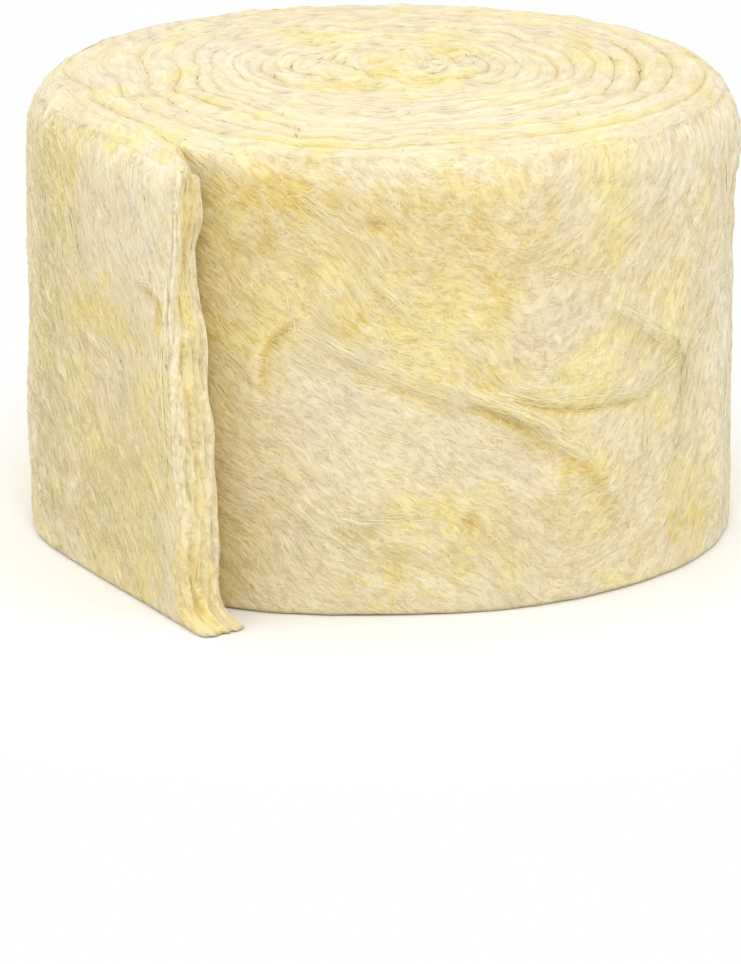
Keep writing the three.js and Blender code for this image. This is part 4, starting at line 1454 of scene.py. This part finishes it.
def wrapped(grid):
    """A grid with its first column repeated behind the last."""
    return np.concatenate([grid, grid[:1]])


print("halfway in a test grid:", on_grid(np.eye(2)[..., None], np.array([0.5]), np.array([0.5]))[0])

# %% The side's sheet, carried on over the rim
OVER_ROWS = 3  # rows of the top that continue the side's sheet


def over_rim(grid):
    """Rows that carry the side's sheet on over the rim: a top grid's columns next to the rim, at
    the station of each column of the side."""
    extra = np.zeros((COLUMNS, OVER_ROWS, grid.shape[-1]))
    last = STATION_COUNT - 1
    for row in range(OVER_ROWS):
        on_outer = ROOT_STATION - STATIONS + column / FINE
        on_inner = ROOT_STATION + (COLUMNS - column) / FINE
        station = np.where(on_end, last - 1 - row, np.where(inside, on_inner, on_outer))
        place = np.where(on_end, TOP_COLUMNS * (1 - across), TOP_COLUMNS - 1 - row)
        place = np.where(inside, 1 + row, place)
        extra[:, row] = on_grid(grid, np.clip(station, 0, last - 1e-6), np.clip(place, 0, 5.999))
    return extra


side_sheet = np.concatenate([side, over_rim(top_places)], axis=1)
side_up = grid_normals(side_sheet, True)
facing = (side_up[:, :ROWS, :2] * outward[:, None]).sum(-1).mean()
side_sheet, side_up = wrapped(side_sheet), wrapped(side_up * np.sign(facing))
side_tones_and_shade = np.concatenate([side_stain, side_painted_shade[..., None]], -1)
side_tones_and_shade = wrapped(np.concatenate([side_tones_and_shade, side_tones_and_shade[:, -OVER_ROWS:]], axis=1))
loop_ends = np.concatenate([along_loop, [along_loop[-1] + step[-1]]])
column_ends = np.arange(COLUMNS + 1)
full_squeeze = wrapped(squeeze)[..., None]


def on_side(s, z):
    """Fractional column and row of a place so far round the loop and up the profile."""
    u = np.interp(np.mod(s, loop_ends[-1]), loop_ends, column_ends)
    tall = np.interp(u, column_ends, wrapped(profile_length)[:, 0])
    return np.minimum(u, COLUMNS - 1e-6), np.clip(z / tall * ROWS, 0, ROWS + OVER_ROWS - 0.01)


print("surface normals of the side point out by", round(float(facing), 2))

# %% The top's sheet
top_sheet = top_places.copy()
top_up = grid_normals(top_sheet, False)
top_up *= np.sign(top_up[..., 2].mean())
top_tones = np.zeros((*top_sheet.shape[:2], 5))
top_tones[..., :4] = stains(top_sheet[..., :2], TOP_PATCHES, top_sheet.shape[:2])
mean_up = float(top_up[..., 2].mean())
print("surface normals of the top point up by", round(mean_up, 2))

# %% Spindles


def spindle_points(paths, ups, radius):
    """Points of the strands: each path's first place, rings of three corners round the places
    between, and its last place. A ring stands across the path, 0.4 times as high as it is wide,
    and its size is the radius times sin(share)^0.8."""
    count, steps = paths.shape[:2]
    way = np.gradient(paths, axis=1)
    way /= np.maximum(np.linalg.norm(way, axis=-1, keepdims=True), 1e-9)
    across_way = np.cross(way, ups)
    across_way /= np.maximum(np.linalg.norm(across_way, axis=-1, keepdims=True), 1e-9)
    over = np.cross(across_way, way)
    angle = np.radians([90.0, 210.0, 330.0])[:, None]
    girth = np.sin(np.linspace(0, math.pi, steps))[1:-1] ** 0.8 * radius[:, None]
    ring = over[:, 1:-1, None] * np.sin(angle) * 0.4 + across_way[:, 1:-1, None] * np.cos(angle)
    ring = paths[:, 1:-1, None] + ring * girth[..., None, None]
    return np.concatenate([paths[:, :1], ring.reshape(count, -1, 3), paths[:, -1:]], axis=1)


def spindle_faces(rings):
    """Point numbers of one strand's faces: three triangles at either end, and three faces of four
    corners between one ring and the next."""
    last = rings * 3 + 1
    tips = [[0, 1 + i, 1 + (i + 1) % 3] for i in range(3)]
    tips += [[last, last - 3 + (i + 1) % 3, last - 3 + i] for i in range(3)]
    sides = [
        [1 + 3 * r + i, 4 + 3 * r + i, 4 + 3 * r + (i + 1) % 3, 1 + 3 * r + (i + 1) % 3]
        for r in range(rings - 1)
        for i in range(3)
    ]
    return tips + sides


def spindles(name, paths, ups, radius, tone, tones):
    """Joined strands: each path is a row of points, with the surface's normal at each. Fibres
    this fine are lit as the felt under them is, so most of each normal is the surface's own."""
    count, steps = paths.shape[:2]
    rings = steps - 2
    places = spindle_points(paths, ups, radius)
    each = places.shape[1]  # points of one strand
    faces = spindle_faces(rings)
    corners = np.concatenate(faces) + each * np.arange(count)[:, None]
    totals = np.tile([len(face) for face in faces], count)
    made = new_mesh(name, places.reshape(-1, 3), corners.ravel(), totals)

    on_ring = [1] + [3] * rings + [1]  # how many corners stand round each place of a path
    ring_out = places - np.repeat(paths, on_ring, axis=1)
    ring_out /= np.maximum(np.linalg.norm(ring_out, axis=-1, keepdims=True), 1e-6)
    soft_up = np.repeat(ups, on_ring, axis=1) + 0.15 * ring_out
    soft_up /= np.linalg.norm(soft_up, axis=-1, keepdims=True)
    made.normals_split_custom_set_from_vertices(soft_up.reshape(-1, 3).astype(np.float32))
    add_layer(made, "stain", "FLOAT_COLOR", "POINT", np.repeat(tones[:, :4], each, 0))
    add_layer(made, "hollow", "FLOAT", "POINT", np.repeat(tones[:, 4], each))
    add_layer(made, "tone", "FLOAT", "POINT", np.repeat(tone, each))
    made.materials.append(loose)
    thing = bpy.data.objects.new(name, made)
    scene.collection.objects.link(thing)
    print(name, count, "strands,", 6 * count * rings, "triangles")
    return thing

# %% Where the strands run


def lifted(count, steps, rng, low, high, tuck=0.12):
    """Height of each strand's points over the surface: tucked in at both ends, and a hill of
    random height between, a little to one side."""
    share = np.linspace(0, 1, steps)[None]
    skew = rng.uniform(0.75, 1.35, (count, 1))
    tall = rng.uniform(low, high, (count, 1)) + tuck
    return -tuck + tall * np.sin(share**skew * math.pi) ** 0.8


def side_strands(name, count, span, seed, steps, length, girth, crimp, stray=24, curl=55):
    """Strands on the side between two lengths round it: they start anywhere and follow the
    stream, give or take a stray angle, with a bend (curl) and a wave (crimp) in degrees. A few lie
    any way at all, and those on the cut end run upright."""
    rng = np.random.default_rng(seed)
    s = rng.uniform(*span, count)
    z = rng.uniform(1.5, WIDTH + 2, count)
    long = rng.uniform(0, 1, count) ** 1.7 * (length[1] - length[0]) + length[0]
    heading = stream_way(s, z)
    places = np.stack([s, z], -1)
    swirl = 16 * waves(places, 15, 15, 24) + 9 * waves(places, 6, 16, 24)
    astray = np.radians(swirl + rng.normal(0, stray, count))
    angle = np.arctan2(heading[:, 1], heading[:, 0]) + astray
    on_cut = (s > TIP_LENGTH - 1) & (s < along_loop[INNER_TIP] + 1)
    angle = np.where(rng.random(count) < 0.12, rng.uniform(0, FULL_TURN, count), angle)
    angle = np.where(on_cut, math.pi / 2 + np.radians(rng.normal(0, 5, count)), angle)
    long = np.where(on_cut, 2 * long, long)
    u, v = on_side(s, z)
    room = on_grid(full_squeeze, u, np.minimum(v, ROWS - 0.01))[:, 0]  # less on the tail
    bend = np.radians(rng.normal(0, curl, count))
    share = np.linspace(-0.5, 0.5, steps)[None]
    start, times = rng.uniform(0, FULL_TURN, (count, 1)), rng.uniform(0.8, 1.6, (count, 1))
    crimped = np.radians(crimp) * np.sin(FULL_TURN * times * share + start) * ~on_cut[:, None]
    turned = angle[:, None] + bend[:, None] * share + crimped
    ds = np.cumsum(np.cos(turned), 1) * (long / steps / room)[:, None]
    dz = np.cumsum(np.sin(turned), 1) * long[:, None] / steps
    path_s = s[:, None] + ds - ds.mean(1, keepdims=True)
    path_z = z[:, None] + dz - dz.mean(1, keepdims=True)
    u, v = on_side(path_s, path_z)
    ups = on_grid(side_up, u, v)
    ups = np.where(on_cut[:, None, None], [*TAIL_WAY, 0], ups)
    rise = lifted(count, steps, rng, low=0.03, high=0.16)
    paths = on_grid(side_sheet, u, v) + ups * rise[..., None]
    paths[..., 2] = np.maximum(paths[..., 2], 0.3)
    tones = on_grid(side_tones_and_shade, *on_side(s, z))
    # the strand takes less of the painted shade of the felt under it
    tones[:, 4] *= 0.7  # a loose strand lies less deep than the felt under it
    # strands torn by an edge, crowded by the squeezed tail or on its top corner are left out
    whole = np.linalg.norm(np.diff(paths, axis=1), axis=-1).max(1) < 2 * long / steps + 0.6
    whole &= rng.random(count) < np.where(on_cut, 0.5, room)
    whole &= ~((s > TIP_LENGTH - 4) & (s < along_loop[INNER_TIP] + 4) & (z > WIDTH - 7))
    girth, bright = rng.uniform(*girth, count), rng.random(count)
    return spindles(name, paths[whole], ups[whole], girth[whole], bright[whole], tones[whole])

# %% The strands' material
# Bare glass shines a little more than felt does, and here that shine is painted: a strand's tone,
# from 0 to 1, makes it dull or bright, and the bright end is a paler colour that also stands in
# for its highlight.
loose, tree = new_material("loose_glass_fibre")
tone = node(tree, "ShaderNodeAttribute", attribute_name="tone").outputs["Fac"]
colour = wool_colour(tree, blotches(tree, in_millimetres(tree), 3.0, 2, 0.0))
colour = cast(tree, colour, linear("#FFF5CC"), tone, 0.45, 1.0, 0.55)
colour = cast(tree, colour, linear("#DACB9E"), tone, 0.4, 0.0, 0.45)
matt_glass = {"Base Color": colour, "Roughness": 0.9, "IOR": WOOL_IOR}
surface = node(tree, "ShaderNodeBsdfPrincipled", matt_glass)
node(tree, "ShaderNodeOutputMaterial", {"Surface": surface})
print("nodes in the fibre:", len(tree.nodes))

# %% Strands on the side
front_nap = side_strands(
    "front_nap", 8200, (-8, 250), 101, steps=6, length=(3, 10), girth=(0.14, 0.25), crimp=38
)
back_nap = side_strands(
    "back_nap", 8200, (250, 640), 102, steps=6, length=(4, 13), girth=(0.17, 0.28), crimp=55
)
tail_nap = side_strands(
    "tail_nap", 7000, (640, loop_ends[-1] - 20), 103, steps=5, length=(3, 11), girth=(0.14, 0.24),
    crimp=35, stray=13, curl=30
)

# %% [markdown]
# ## Strands on the top
# On the top the blanket's slit edge shows, so most strands follow the turns. Near the crumpled
# middle they lie every way. A place on the top is a fractional station and column, and a strand
# that leaves its turn carries on in the next one, because the sheet is continuous there.

# %% Strands on the top


def top_strands(name, count, seed, steps, length, girth, stray):
    """Strands on the top, spread evenly by area, that follow the turns, give or take a stray
    angle in degrees."""
    rng = np.random.default_rng(seed)
    span = np.linalg.norm(np.gradient(top_sheet[..., :2], axis=0), axis=-1)[:, 3]
    wide = np.linalg.norm(top_sheet[:, -1, :2] - top_sheet[:, 0, :2], axis=-1)
    area = np.cumsum(span * wide)
    k = np.interp(rng.uniform(0, area[-1], count), area, np.arange(STATION_COUNT))
    j = rng.uniform(0, 1, count)
    mm_station = np.interp(k, np.arange(STATION_COUNT), span)
    mm_wide = np.interp(k, np.arange(STATION_COUNT), wide)
    radius = np.linalg.norm(on_grid(top_sheet, k, 3.0 + 0 * k)[:, :2], axis=-1)
    loose_way = stray + 45 * smooth_step((34 - radius) / 26)
    angle = np.radians(rng.normal(0, 1, count) * loose_way)
    angle = np.where(rng.random(count) < 0.08, rng.uniform(0, FULL_TURN, count), angle)
    long = rng.uniform(0, 1, count) ** 1.7 * (length[1] - length[0]) + length[0]
    share = np.linspace(-0.5, 0.5, steps)[None]
    turned = angle[:, None] + np.radians(rng.normal(0, 22, count))[:, None] * share
    dk = np.cumsum(np.cos(turned), 1) * (long / steps / np.maximum(mm_station, 0.1))[:, None]
    dj = np.cumsum(np.sin(turned), 1) * (long / steps / np.maximum(mm_wide, 1.2))[:, None]
    u = k[:, None] + dk - dk.mean(1, keepdims=True)
    v = j[:, None] + dj - dj.mean(1, keepdims=True)
    out, back = (v > 1) & (u + STATIONS < ROOT_STATION), (v < 0) & (u > STATIONS)
    u = np.clip(u + STATIONS * out - STATIONS * back, 0, STATION_COUNT - 1.001)
    v = v - out + back
    v = np.interp(v, shares(TOP_COLUMNS), np.arange(TOP_COLUMNS + 1) * 0.9999)
    ups = on_grid(top_up, u, v)
    rise = lifted(count, steps, rng, low=0.02, high=0.12)
    paths = on_grid(top_sheet, u, v) + ups * rise[..., None]
    tones = on_grid(top_tones, np.minimum(k, STATION_COUNT - 1.01), 5.99 * j)
    whole = np.linalg.norm(np.diff(paths, axis=1), axis=-1).max(1) < 2 * long / steps + 0.6
    whole &= k < STATION_COUNT - 4
    girth, bright = rng.uniform(*girth, count), rng.uniform(0.35, 0.85, count)
    return spindles(name, paths[whole], ups[whole], girth[whole], bright[whole], tones[whole])


top_nap = top_strands("top_nap", 4000, 104, steps=4, length=(3, 9), girth=(0.12, 0.2), stray=14)
top_lines = top_strands(
    "top_lines", 5200, 106, steps=5, length=(8, 24), girth=(0.12, 0.22), stray=4
)

# %% [markdown]
# ## Wisps
# Here and there a bundle of fibres was dragged across the skin, and it shines out as a pale, curved
# line some centimetres long. Each wisp is a named path, and a few long strands follow parts of it
# with a little spread.

# %% Wisps
# (path on the unrolled side, strands, spread), in millimetres
WISPS = [
    ([(40, 136), (50, 129), (60, 122)], 16, 1.0), ([(65, 107), (71, 102), (77, 95)], 12, 0.8),
    ([(31.9, 87.9), (47.7, 78.9), (66.3, 73.5)], 26, 1.2),
    ([(38.4, 102.7), (39, 97), (40.5, 91.6)], 6, 0.5),
    ([(42, 94.5), (57, 85.5), (72.5, 78.3), (88.2, 72.2), (98, 68.8)], 60, 1.3),
    ([(94, 71.5), (104.3, 66.7), (116.1, 60.9), (124.9, 54.2), (134.2, 47.5)], 64, 1.5),
    ([(104, 72.5), (122, 67.5), (140, 65.5), (160, 64)], 44, 1.6),
    ([(147.7, 94), (161.3, 85), (174.4, 77.5), (181, 66.4), (178.5, 54)], 44, 1.1),
    ([(60, 90), (75, 84), (88, 80)], 10, 1.6), ([(48, 70), (62, 62), (76, 58)], 10, 2.0),
    ([(84, 60), (98, 56), (112, 52)], 10, 2.0), ([(30, 60), (40, 52), (52, 46)], 8, 2.2),
    ([(150, 120), (165, 128), (180, 140)], 12, 2.2),
    ([(120, 110), (138, 104), (155, 108)], 12, 2.4),
    ([(186, 51), (181.5, 46), (175.7, 41.9), (168, 36)], 10, 0.8),
    ([(206, 85), (200, 82), (194.2, 79), (188.3, 75.5), (183, 72)], 12, 0.8),
    ([(157, 63.5), (166.5, 68.9), (178, 72)], 10, 0.8),
    ([(160.5, 62), (160.8, 52.6), (159.1, 43)], 8, 0.7),
    ([(209, 130), (214, 112), (216, 94)], 12, 1.4), ([(222, 70), (219, 52), (212, 36)], 12, 1.6),
    ([(52, 32.5), (62, 30.5), (72.5, 30.6), (85.1, 31.6)], 12, 1.2),
    ([(662, 131), (668, 122), (675, 112), (681, 101)], 14, 1.2),
    ([(672, 82.5), (679, 80.8), (686.1, 79.7), (697.3, 77)], 12, 1.0),
    ([(650, 96), (657, 84), (666, 70), (672, 60)], 14, 1.2),
    ([(700, 84), (706, 70), (709, 56)], 10, 1.4),
    ([(720, 107), (732, 106.5), (742, 105), (749, 101)], 16, 0.8),
    ([(690, 128), (702, 120), (716, 108)], 10, 1.4), ([(753, 111), (755, 104), (754, 96)], 18, 0.9),
    ([(654, 140), (660, 118), (664, 100)], 12, 1.6), ([(744, 88), (747, 70), (750, 48)], 16, 1.0),
    ([(738, 84), (741, 62), (745, 40)], 12, 1.0), ([(300, 109), (320, 96), (350, 85)], 20, 1.5),
    ([(384, 47), (404, 59), (446, 71)], 22, 1.6), ([(470, 119), (489, 111), (518, 81)], 20, 1.6),
    ([(548, 45), (566, 50), (604, 37)], 20, 1.6),
]


def path_strands(name, wisps, seed, steps, length, girth):
    """Long pale strands along named paths: each covers a random part of its path, and lies a
    little to one side of it, more in the middle of the wisp than at its ends."""
    rng = np.random.default_rng(seed)
    places, brights = [], []
    for path, count, spread in wisps:
        line = smooth_path(path, 60)
        walked = np.concatenate([[0], np.cumsum(np.linalg.norm(np.diff(line, axis=0), axis=1))])
        long = np.minimum(rng.uniform(*length, count), walked[-1] * 1.1)
        middle = rng.uniform(0, walked[-1], count)
        at = middle[:, None] + long[:, None] * np.linspace(-0.5, 0.5, steps)
        at = np.clip(at, 0, walked[-1])
        way = np.gradient(line, axis=0)
        way /= np.linalg.norm(way, axis=1)[:, None]
        near = [np.interp(at, walked, line[:, i]) for i in range(2)]
        aside = [np.interp(at, walked, -way[:, 1]), np.interp(at, walked, way[:, 0])]
        off = rng.normal(0, 1.3 * spread, (count, 1))
        off = off + np.cumsum(rng.normal(0, 0.3, (count, steps)), 1)
        places.append(np.stack([near[i] + aside[i] * off for i in range(2)], -1))
        # wisps get the brightest tones, which also paint their highlight
        brights.append(rng.uniform(0.85, 1.0, count))
    places, brights = np.concatenate(places), np.concatenate(brights)
    count = len(places)
    u, v = on_side(places[..., 0], places[..., 1])
    ups = on_grid(side_up, u, v)
    rise = lifted(count, steps, rng, low=0.06, high=0.3)
    paths = on_grid(side_sheet, u, v) + ups * rise[..., None]
    tones = on_grid(side_tones_and_shade, *on_side(places[:, 4, 0], places[:, 4, 1]))
    # wisps take little of the painted shade under them
    tones[:, 4] *= 0.3
    tones[:, YELLOW] = np.maximum(tones[:, YELLOW], 0.6)
    return spindles(name, paths, ups, rng.uniform(*girth, count), brights, tones)


wisps = path_strands("wisps", WISPS, 105, steps=8, length=(9, 26), girth=(0.13, 0.24))

# %% [markdown]
# ## On the blanket's body
# The felt and all its strands stand for the one blanket, so they ride on its body, and the CAD
# part is hidden.

# %% Finish
naps = [front_nap, back_nap, tail_nap, top_nap, top_lines, wisps]
for piece in [roll, *naps]:
    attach(piece, "root")
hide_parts("wound_blanket")
total = sum(sum(len(p.vertices) - 2 for p in piece.data.polygons) for piece in [roll, *naps])
print("triangles in all:", total)
